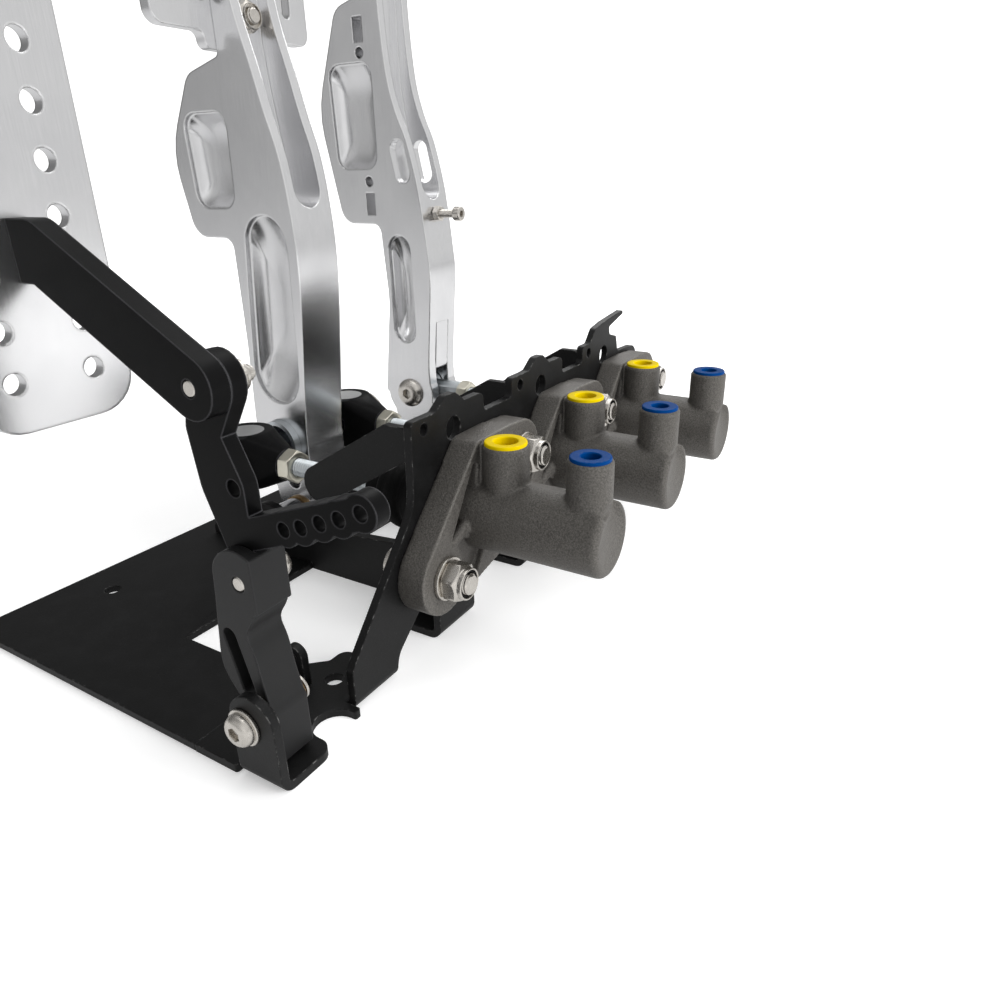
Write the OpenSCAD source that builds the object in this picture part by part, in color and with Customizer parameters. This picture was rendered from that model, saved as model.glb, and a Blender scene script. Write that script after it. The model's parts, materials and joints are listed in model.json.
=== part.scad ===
// Floor mounted racing pedal box with three master cylinders.
// Millimetres, +Z up, +Y forward, origin in the middle of the floor bolts.

/* [Frame sheet] */
// Thickness of the folded steel sheet
sheet_t = 3; // [2.5:0.25:3.5]
// Inside radius of the folds
fold_r = 2; // [1.5:0.25:3]
// Spacing of the floor bolts across the box
floor_span_x = 185; // [182:1:187]
// Spacing of the floor bolts along the box
floor_span_y = 127; // [124:1:129]
// Diameter of the floor bolt holes
floor_hole_d = 6.6; // [5:0.2:8]
// Half of the width of the floor plate
base_half_w = 139; // [137:1:142]
// Rear edge of the floor plate
base_rear_y = -84; // [-92:1:-80]
// Front edge of the floor plate behind the open bay
base_front_y = -5; // [-9:1:-2]
// Front face of the bulkhead
bulkhead_y = 80; // [79:0.5:82]
// Height of the arches between the legs
arch_z = 24; // [20:1:28]
// Length of the feet behind the legs
foot_l = 22; // [19:1:26]
// Height of the near corner of each bulkhead station
shoulder_z = 90; // [88:0.5:92]
// Width of the slanted straps behind the bulkhead
strap_w = 14.6; // [12:0.2:15]
// Thickness of the pedal rails
rail_t = 4; // [3:0.5:5]
// Distance from the pedal middle to the middle of a rail
rail_offset = 30; // [29:0.5:31]

/* [Master cylinders] */
// Distance between cylinder axes
cylinder_pitch = 66; // [65:0.5:68]
// Height of the cylinder axes
axis_z = 50; // [49:0.5:52]
// Outer diameter of the cylinder body
body_d = 28; // [26.5:0.5:29]
// Bore of the cylinder
bore_d = 19; // [18:0.5:19.5]
// Length of the body ahead of the bulkhead
body_l = 61; // [58:1:64]
// Depth of the bore measured from the flange face
bore_l = 53; // [50:1:54]
// Diameter of the spigot behind the flange
spigot_d = 26; // [25:0.5:26.5]
// Length of the spigot behind the flange face
spigot_l = 9; // [8:0.5:10]
// Thickness of the mounting flange
flange_t = 11; // [9:0.5:12]
// Distance between the two flange bolts
flange_pitch = 62; // [60:0.5:64]
// Tilt of the flange bolt line
flange_tilt = 28.4; // [26:0.2:30]
// Depth of the cast pocket in the flange
pocket_d = 6; // [3:0.5:7]
// Distance of the feed boss from the flange face
feed_y = 19.5; // [19:0.5:22]
// Distance of the outlet boss from the flange face
outlet_y = 52; // [47:0.5:52]
// Diameter of the feed boss
feed_boss_d = 17; // [16:0.5:18]
// Diameter of the outlet boss
outlet_boss_d = 16; // [15:0.5:17]
// Height of the bosses above the cylinder axis
boss_h = 27; // [25:0.5:29]
// Diameter of the feed port
feed_port_d = 11; // [10:0.25:12]
// Diameter of the outlet port
outlet_port_d = 10; // [9:0.25:11]
// Diameter of the push rods
rod_d = 8; // [7:0.5:9]
// Length of the rubber boots
boot_l = 38; // [34:1:42]
// Outer diameter of the rubber boots
boot_d = 28.5; // [28:0.25:30]

/* [Pedals] */
// Height of the pedal pivots
pivot_z = 15; // [14.5:0.25:16]
// Position of the pedal pivots along the box
pivot_y = -30; // [-32:0.5:-29]
// Travel of the brake and clutch pedals in degrees
pedal_travel = 16; // [12:1:18]
// Width of the pedal arms
arm_w = 24; // [22:0.5:26]
// Width of the groove down the front of the arms
groove_w = 15; // [12:0.5:16]
// Depth of the near side pocket of the brake arm
near_pocket_d = 13; // [10:0.5:14]
// Depth of the far side pocket of the brake arm
far_pocket_d = 8; // [6:0.5:9]
// Height of the top of the arms
arm_top_z = 294; // [292:1:298]
// Diameter of the pivot shafts
pivot_d = 10; // [9:0.5:11]
// Diameter of the balance bar
bar_d = 9.5; // [9:0.25:10]
// Length of the balance bar
bar_l = 106; // [104:1:108]
// Outer diameter of the balance bar tube
tube_d = 22; // [21.5:0.25:23]
// Diameter of the trunnions
trunnion_d = 16; // [15.5:0.25:17]
// Diameter of the clutch pin
pin_d = 9.5; // [9:0.25:10]
// Width of the foot pads
pad_w = 79; // [70:1:82]
// Thickness of the foot pads
pad_t = 5; // [4:0.5:6]

/* [Throttle] */
// Position of the throttle pivot along the box
throttle_y = 74.8; // [74.4:0.2:75.2]
// Height of the throttle pivot
throttle_z = 21.2; // [20.6:0.2:21.8]
// Diameter of the throttle pivot bolt
throttle_bolt_d = 6; // [5.5:0.25:6.25]
// Travel of the throttle in degrees
throttle_travel = 20; // [15:1:22]
// Width of the throttle arm
throttle_w = 13; // [12:0.5:14]
// Thickness of the throttle crank plate
crank_t = 5; // [4:0.25:6]
// Diameter of the cable holes in the crank plate
cable_hole_d = 4.3; // [3.5:0.1:5]

/* [Fits] */
// Radial running fit of turning and sliding pieces
running_fit = 0.05; // [0.03:0.01:0.08]
// Radial room of bolts in their holes
bolt_room = 0.25; // [0.15:0.05:0.3]
// Radial room in the two linkage pivots that follow an arc
arc_room = 0.8; // [0.75:0.05:0.9]
// Room between pieces that pass each other
pass_room = 0.4; // [0.3:0.05:0.5]

/* [Hidden] */
$fn = 48;

// Colours
coat_black = [0.07, 0.07, 0.07];
anodised_black = [0.16, 0.16, 0.17];
cast_grey = [0.36, 0.35, 0.33];
plug_yellow = [0.95, 0.85, 0.05];
plug_blue = [0.02, 0.25, 0.6];
zinc = [0.72, 0.72, 0.7];
bright_aluminium = [0.8, 0.8, 0.8];
bronze = [0.7, 0.5, 0.25];
rubber_black = [0.05, 0.05, 0.05];
spring_steel = [0.55, 0.55, 0.55];

// Derived positions
fold_out = fold_r + sheet_t;
axes_x = [cylinder_pitch / 2, -cylinder_pitch / 2, -cylinder_pitch * 3 / 2];
clutch_x = axes_x[2];
lever = axis_z - pivot_z;
bar_y = pivot_y - lever * tan(pedal_travel / 2);
flange_bolt = flange_pitch / 2 * [cos(flange_tilt), -sin(flange_tilt)];
arm_half = arm_w / 2;
rail_in = rail_offset - rail_t / 2;
rail_out = rail_offset + rail_t / 2;
crank_x = base_half_w - 12.5;
throttle_x = crank_x - throttle_w / 2;
ear_x = base_half_w - sheet_t;
through = 1;

// Fastener sizes, M8 unless named otherwise
m8_d = 8;
m8_flats = 13;
m8_head_h = 5.3;
m8_washer_d = 16;
m8_washer_t = 1.6;
m8_nut_h = 8;
m8_thread_out = 1.5;
m6_d = 6;
m6_flats = 10;
m6_nut_h = 5;
m6_head_h = 4;

// Rounded corner of an outline: arc of radius r between the sides p to a and p to b
function unit(v) = v / norm(v);
function arc_steps(turn) = max(2, ceil(abs(turn) / 14));
function corner_arc(a, p, b, r) =
    let (u = unit(a - p), v = unit(b - p))
    let (half = acos(max(-1, min(1, u * v))) / 2)
    let (mid = p + unit(u + v) * r / sin(half))
    let (first = p + u * r / tan(half) - mid)
    let (last = p + v * r / tan(half) - mid)
    let (start = atan2(first.y, first.x))
    let (turn = (atan2(last.y, last.x) - start + 540) % 360 - 180)
    let (steps = arc_steps(turn))
    [for (i = [0:steps]) mid + r * [cos(start + turn * i / steps), sin(start + turn * i / steps)]];
function flat_point(c) = [c[0], c[1]];
function rounded(corners) =
    let (n = len(corners))
    [for (i = [0:n - 1])
        let (a = flat_point(corners[(i + n - 1) % n]), b = flat_point(corners[(i + 1) % n]))
        each corners[i][2] > 0 ? corner_arc(a, flat_point(corners[i]), b, corners[i][2])
            : [flat_point(corners[i])]];

// Outline of a belt around circles [x, y, r] listed counter-clockwise
function belt_angle(c, d) =
    let (gap = norm(flat_point(d) - flat_point(c)))
    atan2(d[1] - c[1], d[0] - c[0]) - acos((c[2] - d[2]) / gap);
function belt(circles) =
    let (n = len(circles))
    [for (i = [0:n - 1])
        let (c = circles[i])
        let (start = belt_angle(circles[(i + n - 1) % n], c))
        let (turn = (belt_angle(c, circles[(i + 1) % n]) - start + 720) % 360)
        let (steps = arc_steps(turn))
        each [for (k = [0:steps])
            let (a = start + turn * k / steps)
            flat_point(c) + c[2] * [cos(a), sin(a)]]];

// Smooth curve through points, four spans between neighbours
function spline_at(a, b, c, d, t) =
    ((2 * b) + (c - a) * t + (2 * a - 5 * b + 4 * c - d) * t * t
        + (3 * b - a - 3 * c + d) * t * t * t) / 2;
function spline(points, spans = 4) =
    let (n = len(points) - 1)
    [for (i = [0:n - 1], k = [0:spans - 1])
        spline_at(points[max(0, i - 1)], points[i], points[i + 1],
            points[min(n, i + 2)], k / spans),
     points[n]];
function sharp(points) = [for (p = points) [p[0], p[1], 0]];

// Solids laid along the axes
module along_x(start, length) {
    translate([start, 0, 0])
        rotate([90, 0, 90])
            linear_extrude(length)
                children();
}

module along_y(front, length) {
    translate([0, front, 0])
        rotate([90, 0, 0])
            linear_extrude(length)
                children();
}

module rod_x(start, length, radius) {
    translate([start, 0, 0])
        rotate([0, 90, 0])
            cylinder(h = length, r = radius);
}

module rod_y(start, length, radius) {
    translate([0, start, 0])
        rotate([-90, 0, 0])
            cylinder(h = length, r = radius);
}

module hex_y(start, length, flats) {
    translate([0, start, 0])
        rotate([-90, 0, 0])
            cylinder(h = length, d = flats / cos(30), $fn = 6);
}

module hex_x(start, length, flats) {
    translate([start, 0, 0])
        rotate([0, 90, 0])
            cylinder(h = length, d = flats / cos(30), $fn = 6);
}

// Coil spring along +Z from the origin
coil_sides = 6;
coil_steps = 14;
module coil(coil_r, wire_r, length, turns) {
    rings = turns * coil_steps;
    points = [for (k = [0:rings], j = [0:coil_sides - 1])
        let (a = k * 360 / coil_steps, t = j * 360 / coil_sides)
        [(coil_r + wire_r * cos(t)) * cos(a), (coil_r + wire_r * cos(t)) * sin(a),
            wire_r + (length - 2 * wire_r) * k / rings - wire_r * sin(t)]];
    sides = [for (k = [0:rings - 1], j = [0:coil_sides - 1])
        let (next = (j + 1) % coil_sides)
        [k * coil_sides + j, (k + 1) * coil_sides + j,
            (k + 1) * coil_sides + next, k * coil_sides + next]];
    first = [for (j = [0:coil_sides - 1]) j];
    last = [for (j = [coil_sides - 1:-1:0]) rings * coil_sides + j];
    polyhedron(points, concat(sides, [first, last]));
}

// Floor plate under the pedals with the near side strip
strip_x = base_half_w - 38;
near_foot_y = 48;
base_corner_r = 9;
bay_corner_r = 1;
base_outline = [
    [-base_half_w, base_rear_y, base_corner_r],
    [base_half_w, base_rear_y, base_corner_r],
    [base_half_w, near_foot_y, 0],
    [strip_x, near_foot_y, 0],
    [strip_x, base_front_y, bay_corner_r],
    [-base_half_w, base_front_y, base_corner_r]
];

module base_plate() {
    color(coat_black)
        difference() {
            linear_extrude(sheet_t)
                polygon(rounded(base_outline));
            for (side = [-1, 1])
                translate([side * floor_span_x / 2, -floor_span_y / 2, -through])
                    cylinder(h = sheet_t + 2 * through, d = floor_hole_d);
        }
}

// Bulkhead: one folded sheet with stations, legs, feet, straps and the throttle ear
leg_from = -6;
leg_to = 18;
corner_at = 28;
near_leg = [base_half_w - 62, base_half_w - 39.2];
far_edge = -41;
far_leg = 21;
hump_z = shoulder_z + 4.3;
notch_z = shoulder_z - 7.4;
arch_r = 8;
small_arch_r = 3.5;
edge_r = 2;
function station_top(a) = [
    [a + 14, shoulder_z, 3],
    [a + 7.5, hump_z, 3],
    [a + 1.5, hump_z, 3],
    [a - 4.5, shoulder_z, 3],
    [a - 17, shoulder_z, 3],
    [a - 17, notch_z, edge_r],
    [a - cylinder_pitch + corner_at, notch_z, edge_r],
    [a - cylinder_pitch + corner_at, shoulder_z, edge_r]
];
function fin_top(a) = [
    [a + 19.5, shoulder_z, 3],
    [a + 14, shoulder_z + 6, 4],
    [a + 4, shoulder_z + 7.8, 8],
    [a - 18.5, shoulder_z + 10, 0.8],
    [a - 20, shoulder_z + 8.4, 0.6],
    [a - 2.5, shoulder_z + 4.3, 1],
    [a - 3.5, shoulder_z + 0.5, 1.5],
    [a - 12, shoulder_z - 1.8, 2],
    [a - 14.5, shoulder_z - 10, 3],
    [a + far_edge, shoulder_z - 11, 8],
    [a + far_edge, fold_out, 0]
];
function arch(from, to, r) = [
    [from, fold_out, 0],
    [from, arch_z, r],
    [to, arch_z, r],
    [to, fold_out, 0]
];
far_leg_in = axes_x[2] + far_edge + far_leg;
arch_end = axes_x[0] + leg_to;
slant_run = near_leg[0] - 1 - arch_end;
slant_z = 9;
slant_r = 8;
bulkhead_outline = concat(
    [[near_leg[1], fold_out, 0],
     [near_leg[1], 16.5, 4],
     [axes_x[0] + corner_at + 1, axis_z + 10, 16],
     [axes_x[0] + corner_at, shoulder_z, edge_r]],
    station_top(axes_x[0]),
    station_top(axes_x[1]),
    fin_top(axes_x[2]),
    arch(far_leg_in, axes_x[2] + leg_from, small_arch_r),
    arch(axes_x[2] + leg_to, axes_x[1] + leg_from, arch_r),
    arch(axes_x[1] + leg_to, axes_x[0] + leg_from, arch_r),
    [[arch_end, fold_out, 0],
     [arch_end, arch_z, slant_run * 0.12],
     [arch_end + slant_run * 0.28, arch_z, slant_run * 0.24],
     [near_leg[0] - 1, slant_z, slant_r],
     [near_leg[0], fold_out, 0]]
);
legs = [
    [axes_x[0] + leg_from, axes_x[0] + leg_to],
    [axes_x[1] + leg_from, axes_x[1] + leg_to],
    [axes_x[2] + leg_from, axes_x[2] + leg_to],
    [axes_x[2] + far_edge, far_leg_in]
];
hump_hole_d = 9;
hump_hole_x = 3.5;
hump_hole_z = shoulder_z - 8.4;
small_hole_d = 4.5;
small_hole_x = 21;
small_hole_z = shoulder_z - 4;

// Quarter fold from the upright sheet to the flat foot
module leg_fold(from, to) {
    intersection() {
        difference() {
            translate([0, bulkhead_y - fold_out, fold_out])
                rod_x(from, to - from, fold_out);
            translate([0, bulkhead_y - fold_out, fold_out])
                rod_x(from - through, to - from + 2 * through, fold_r);
        }
        translate([from, bulkhead_y - fold_out, 0])
            cube([to - from, fold_out, fold_out]);
    }
}

// Near foot: floor hole, scallop, tongue and the folded throttle ear
ear_r = 8.8;
ear_middle = throttle_y + 2.7;
ear_top_z = throttle_z + 1.7;
ear_rear = ear_middle - ear_r;
ear_front = ear_middle + ear_r;
ear_fold_x = base_half_w - fold_out;
tongue_x = base_half_w - 21.5;
scallop_r = 7.4;
scallop_x = tongue_x - scallop_r;
nib = [near_leg[1] + 0.2, bulkhead_y + 2];
near_foot_outline = [
    [near_leg[0], bulkhead_y - fold_out, 0],
    [near_leg[0], near_foot_y + 6.5, 4],
    [near_leg[0] + 8, near_foot_y + 6.5, edge_r],
    [near_leg[0] + 14, near_foot_y, edge_r],
    [base_half_w, near_foot_y, 0],
    [base_half_w, ear_rear - edge_r, 1],
    [ear_fold_x, ear_rear - edge_r, 1],
    [ear_fold_x, ear_front, 0],
    [tongue_x, ear_front, 5],
    [tongue_x, bulkhead_y, 0],
    [tongue_x - 2 * scallop_r, bulkhead_y, 0],
    [tongue_x - 2 * scallop_r, nib.y, 0.8],
    [nib.x, nib.y, 0.8],
    [nib.x, bulkhead_y - fold_out, 0]
];

module throttle_ear() {
    intersection() {
        difference() {
            translate([ear_fold_x, 0, fold_out])
                rod_y(ear_rear, ear_front - ear_rear, fold_out);
            translate([ear_fold_x, 0, fold_out])
                rod_y(ear_rear - through, ear_front - ear_rear + 2 * through, fold_r);
        }
        translate([ear_fold_x, ear_rear, 0])
            cube([fold_out, ear_front - ear_rear, fold_out]);
    }
    along_x(ear_x, sheet_t)
        union() {
            translate([ear_rear, fold_out])
                square([2 * ear_r, ear_top_z - fold_out]);
            translate([ear_middle, ear_top_z])
                circle(r = ear_r);
        }
}

// Small upright tab that holds the lower end of the throttle spring
tab = [base_half_w - 40.5, 54.5, 14.6];
tab_r = 4.2;
tab_hole_r = 1.5;
module spring_tab() {
    difference() {
        along_x(tab.x, sheet_t)
            union() {
                translate([tab.y - tab_r, sheet_t / 2])
                    square([2 * tab_r, tab.z - sheet_t / 2]);
                translate([tab.y, tab.z])
                    circle(r = tab_r);
            }
        translate([0, tab.y, tab.z])
            rod_x(tab.x - through, sheet_t + 2 * through, tab_hole_r);
    }
}

// Slanted strap folded back from the near corner of a station
strap_top = [bulkhead_y - 2, shoulder_z - 4.7];
strap_end = [bulkhead_y - 45, shoulder_z - 30.4];
strap_run = unit(strap_end - strap_top);
strap_side = [strap_run.y, -strap_run.x] * strap_w / 2;
strap_tip = strap_end + strap_run * strap_w / 2;
strap_corners = [
    concat(strap_top + strap_side, 0),
    concat(strap_tip + strap_side, strap_w / 2 - 0.1),
    concat(strap_tip - strap_side, strap_w / 2 - 0.1),
    concat(strap_top - strap_side, 0)
];
module strap(a) {
    along_x(a + corner_at - sheet_t, sheet_t)
        intersection() {
            polygon(rounded(strap_corners));
            square([bulkhead_y, shoulder_z - edge_r]);
        }
}

module station_holes(a) {
    translate([a, 0, axis_z])
        rod_y(bulkhead_y - sheet_t - through, sheet_t + 2 * through, spigot_d / 2 + bolt_room);
    for (side = [-1, 1])
        translate([a + side * flange_bolt.x, 0, axis_z + side * flange_bolt.y])
            rod_y(bulkhead_y - sheet_t - through, sheet_t + 2 * through, m8_d / 2 + bolt_room);
    translate([a + hump_hole_x, 0, hump_hole_z])
        rod_y(bulkhead_y - sheet_t - through, sheet_t + 2 * through, hump_hole_d / 2);
    translate([a + small_hole_x, 0, small_hole_z])
        rod_y(bulkhead_y - sheet_t - through, sheet_t + 2 * through, small_hole_d / 2);
}

module bulkhead() {
    color(coat_black)
        difference() {
            union() {
                along_y(bulkhead_y, sheet_t)
                    polygon(rounded(bulkhead_outline));
                for (leg = legs) {
                    leg_fold(leg[0], leg[1]);
                    translate([leg[0], bulkhead_y - fold_out - foot_l, 0])
                        cube([leg[1] - leg[0], foot_l, sheet_t]);
                }
                leg_fold(near_leg[0], near_leg[1]);
                linear_extrude(sheet_t)
                    difference() {
                        polygon(rounded(near_foot_outline));
                        translate([scallop_x, bulkhead_y])
                            circle(r = scallop_r);
                    }
                throttle_ear();
                spring_tab();
                for (a = axes_x)
                    strap(a);
            }
            for (a = axes_x)
                station_holes(a);
            for (side = [-1, 1])
                translate([side * floor_span_x / 2, floor_span_y / 2, -through])
                    cylinder(h = sheet_t + 2 * through, d = floor_hole_d);
            translate([0, throttle_y, throttle_z])
                rod_x(ear_x - through, sheet_t + 2 * through, throttle_bolt_d / 2 + bolt_room);
        }
}

// Pedal rails: upright plates from the floor plate to the bulkhead
rail_rear = -70;
rail_ear_r = 12;
rail_front_z = 26.5;
rail_low_z = 22;
rail_front = bulkhead_y - sheet_t;
rail_toe = bulkhead_y - fold_out - foot_l;
rail_corners = [
    [rail_rear, sheet_t, 0],
    [base_front_y, sheet_t, 0],
    [base_front_y, 0, 0],
    [rail_toe, 0, 0],
    [rail_toe, sheet_t, 0],
    [rail_front - fold_out, sheet_t, 0],
    [rail_front, fold_out + sheet_t, 0],
    [rail_front, rail_front_z, 0],
    [rail_front - 12, rail_front_z, 6],
    [10, rail_low_z, 30],
    [pivot_y + rail_ear_r, rail_low_z, 8],
    [pivot_y, pivot_z + rail_ear_r, 0],
    [pivot_y - rail_ear_r, rail_low_z - 4, 6],
    [rail_rear, 9, 4]
];

module rail_plate(from) {
    difference() {
        along_x(from, rail_t)
            union() {
                polygon(rounded(rail_corners));
                translate([pivot_y, pivot_z])
                    circle(r = rail_ear_r - 0.05);
            }
        translate([0, pivot_y, pivot_z])
            rod_x(from - through, rail_t + 2 * through, pivot_d / 2 + running_fit);
    }
}

module rail_pair(middle) {
    color(coat_black)
        for (from = [rail_in, -rail_out])
            rail_plate(middle + from);
}

module brake_rails() {
    rail_pair(0);
}

module clutch_rails() {
    rail_pair(clutch_x);
}

// Cast cylinder body: flange with pockets, barrel, two bosses, bore and ports
flange_low_r = 14;
flange_high_r = 13;
flange_peak = [3, 24.5, 4];
flange_foot = [-6, -17, 5];
flange_circles = [
    concat(flange_bolt, flange_low_r),
    flange_peak,
    [-16, 24.5, 4],
    concat(-flange_bolt, flange_high_r),
    flange_foot
];
pocket_circles = [[21.5, -3, 1.5], [7, 20, 1.5], [10, 2, 1.5]];
low_pocket_circles = [[11, -24.5, 1.5], [18.5, -4.5, 1.5], [3, -12, 1.5]];
barrel_edge_r = 2.5;
boss_root_r = 3;
wall_hole_d = 3;
port_depth = 13;
clip_groove_d = bore_d + 2;
clip_t = 1.2;
clip_y = bulkhead_y - spigot_l + 2;
boss_edge = 0.8;

module boss(radius) {
    rotate_extrude()
        polygon([[0, 0], [radius + boss_root_r, 0], [radius + boss_root_r, body_d / 2 - 3],
            [radius + boss_root_r / 3, body_d / 2 - 0.5], [radius, body_d / 2 + boss_root_r],
            [radius, boss_h - boss_edge], [radius - boss_edge, boss_h], [0, boss_h]]);
}

module cylinder_body(a) {
    color(cast_grey)
        translate([a, bulkhead_y, axis_z])
            difference() {
                union() {
                    difference() {
                        along_y(flange_t, flange_t)
                            polygon(belt(flange_circles));
                        along_y(flange_t + through, pocket_d + through)
                            polygon(belt(pocket_circles));
                        along_y(flange_t + through, pocket_d / 2 + through)
                            polygon(belt(low_pocket_circles));
                    }
                    rotate([-90, 0, 0])
                        rotate_extrude()
                            polygon(rounded([[0, 0, 0], [body_d / 2, 0, 0],
                                [body_d / 2, body_l, barrel_edge_r], [0, body_l, 0]]));
                    rod_y(-spigot_l, spigot_l + through, spigot_d / 2);
                    intersection() {
                        union() {
                            translate([0, feed_y, 0])
                                boss(feed_boss_d / 2);
                            translate([0, outlet_y, 0])
                                boss(outlet_boss_d / 2);
                        }
                        translate([-body_d, 0, 0])
                            cube([2 * body_d, body_l, boss_h]);
                    }
                }
                rod_y(-spigot_l - through, bore_l + spigot_l + through, bore_d / 2);
                translate([0, clip_y - bulkhead_y, 0])
                    rod_y(0, clip_t + 0.1, clip_groove_d / 2);
                for (side = [-1, 1])
                    translate([side * flange_bolt.x, 0, side * flange_bolt.y])
                        rod_y(-through, flange_t + 2 * through, m8_d / 2 + bolt_room);
                translate([0, feed_y, boss_h - port_depth])
                    cylinder(h = port_depth + through, d = feed_port_d);
                translate([0, feed_y, 0])
                    cylinder(h = boss_h, d = wall_hole_d);
                translate([0, outlet_y, boss_h - port_depth])
                    cylinder(h = port_depth + through, d = outlet_port_d);
                translate([0, bore_l - wall_hole_d, 0])
                    cylinder(h = boss_h - port_depth + through, d = wall_hole_d);
            }
}

module cylinder_body_1() {
    cylinder_body(axes_x[0]);
}

module cylinder_body_2() {
    cylinder_body(axes_x[1]);
}

module cylinder_body_3() {
    cylinder_body(axes_x[2]);
}

// Transport plugs in the ports
plug_rim_t = 1.9;
plug_stem_l = 8;
feed_rim_d = 15.4;
outlet_rim_d = 14.3;
plug_fit = 0.05;
module plug(y, rim_d, port_d, hollow_d) {
    translate([0, bulkhead_y + y, axis_z + boss_h])
        difference() {
            union() {
                cylinder(h = plug_rim_t, d = rim_d);
                translate([0, 0, -plug_stem_l])
                    cylinder(h = plug_stem_l + through, d = port_d - 2 * plug_fit);
            }
            translate([0, 0, plug_rim_t - plug_stem_l])
                cylinder(h = plug_stem_l + through, d = hollow_d);
        }
}

feed_hollow_d = 8.6;
outlet_hollow_d = 6.8;
module feed_plugs() {
    color(plug_yellow)
        for (a = axes_x)
            translate([a, 0, 0])
                plug(feed_y, feed_rim_d, feed_port_d, feed_hollow_d);
}

module outlet_plugs() {
    color(plug_blue)
        for (a = axes_x)
            translate([a, 0, 0])
                plug(outlet_y, outlet_rim_d, outlet_port_d, outlet_hollow_d);
}

// Flange fasteners, two for each cylinder
flange_stations = [for (a = axes_x, side = [-1, 1])
    [a + side * flange_bolt.x, 0, axis_z + side * flange_bolt.y]];
washer_y = bulkhead_y + flange_t;
nut_y = washer_y + m8_washer_t;

module flange_bolts() {
    color(zinc)
        for (p = flange_stations)
            translate(p) {
                hex_y(bulkhead_y - sheet_t - m8_head_h, m8_head_h, m8_flats);
                rod_y(bulkhead_y - sheet_t - through,
                    nut_y + m8_nut_h + m8_thread_out - bulkhead_y + sheet_t + through, m8_d / 2);
            }
}

module flange_washers() {
    color(zinc)
        for (p = flange_stations)
            translate(p)
                difference() {
                    rod_y(washer_y, m8_washer_t, m8_washer_d / 2);
                    rod_y(washer_y - through, m8_washer_t + 2 * through, m8_d / 2 + bolt_room);
                }
}

nut_hex_h = 6;
nut_collar_d = 11.6;
module flange_nuts() {
    color(zinc)
        for (p = flange_stations)
            translate(p)
                difference() {
                    union() {
                        hex_y(nut_y, nut_hex_h, m8_flats);
                        rod_y(nut_y, m8_nut_h, nut_collar_d / 2);
                    }
                    rod_y(nut_y - through, m8_nut_h + 2 * through, m8_d / 2 + running_fit);
                }
}

// Clips that keep the push rod collars in the bores
clip_in_r = 7.3;
clip_gap = 5;
module bore_clips() {
    color(spring_steel)
        for (a = axes_x)
            translate([a, 0, axis_z])
                difference() {
                    rod_y(clip_y, clip_t, clip_groove_d / 2 - 0.1);
                    rod_y(clip_y - through, clip_t + 2 * through, clip_in_r);
                    translate([-clip_gap / 2, clip_y - through, -clip_groove_d])
                        cube([clip_gap, clip_t + 2 * through, clip_groove_d]);
                }
}

// Piston with its seal, pushed by the collar end of the push rod
collar_y = clip_y + clip_t + 0.1;
collar_t = 2;
collar_d = bore_d - 2;
piston_y = collar_y + collar_t;
piston_l = 20;
seal_y = piston_y + 13;
seal_t = 4;
seal_in_r = 6.5;
socket_r = rod_d / 2 + 0.05;
socket_d = 6;
module piston(a) {
    color(bright_aluminium)
        translate([a, 0, axis_z])
            difference() {
                rod_y(piston_y, piston_l, bore_d / 2 - running_fit);
                rod_y(piston_y - through, socket_d + through, socket_r);
                difference() {
                    rod_y(seal_y, seal_t, bore_d / 2 + through);
                    rod_y(seal_y - through, seal_t + 2 * through, seal_in_r);
                }
            }
}

module seal(a) {
    color(rubber_black)
        translate([a, 0, axis_z])
            difference() {
                rod_y(seal_y + 0.05, seal_t - 0.1, bore_d / 2 - running_fit);
                rod_y(seal_y - through, seal_t + 2 * through, seal_in_r + 0.05);
            }
}

module piston_1() {
    piston(axes_x[0]);
}

module piston_2() {
    piston(axes_x[1]);
}

module piston_3() {
    piston(axes_x[2]);
}

module seal_1() {
    seal(axes_x[0]);
}

module seal_2() {
    seal(axes_x[1]);
}

module seal_3() {
    seal(axes_x[2]);
}

// Return springs between the pistons and the ends of the bores
return_r = 6.5;
return_wire_r = 0.8;
return_turns = 7;
return_y = piston_y + piston_l;
module return_spring(a) {
    color(spring_steel)
        translate([a, return_y, axis_z])
            rotate([-90, 0, 0])
                coil(return_r, return_wire_r, bulkhead_y + bore_l - return_y, return_turns);
}

module return_spring_1() {
    return_spring(axes_x[0]);
}

module return_spring_2() {
    return_spring(axes_x[1]);
}

module return_spring_3() {
    return_spring(axes_x[2]);
}

// Rubber boots around the push rods
boot_wall = 1.6;
boot_fold = 1.2;
boot_tail_r = 8;
boot_tail_l = 7;
boot_room = 0.6;
boot_rear = bulkhead_y - sheet_t - boot_l;
boot_step = (boot_l - boot_tail_l - spigot_l) / 5;
boot_r = boot_d / 2;
boot_outer = concat(
    [[boot_tail_r, 0], [boot_tail_r, boot_tail_l - 2], [boot_r - 2, boot_tail_l]],
    [for (k = [0:3]) each [
        [boot_r, boot_tail_l + boot_step * (k + 0.4)],
        [boot_r, boot_tail_l + boot_step * (k + 0.8)],
        [boot_r - boot_fold, boot_tail_l + boot_step * (k + 1.1)]]],
    [[boot_r, boot_l - spigot_l], [boot_r, boot_l]]
);
boot_inner = [
    [spigot_d / 2 + running_fit, boot_l],
    [spigot_d / 2 + running_fit, boot_l - spigot_l + sheet_t - running_fit],
    [boot_r - boot_fold - boot_wall, boot_l - spigot_l],
    [boot_r - boot_fold - boot_wall, boot_tail_l + boot_wall],
    [rod_d / 2 + boot_room, boot_tail_l - 2],
    [rod_d / 2 + boot_room, 0]
];
module boot(a) {
    color(rubber_black)
        translate([a, boot_rear, axis_z])
            rotate([-90, 0, 0])
                rotate_extrude()
                    polygon(concat(boot_outer, boot_inner));
}

module boot_1() {
    boot(axes_x[0]);
}

module boot_2() {
    boot(axes_x[1]);
}

module boot_3() {
    boot(axes_x[2]);
}

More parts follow.
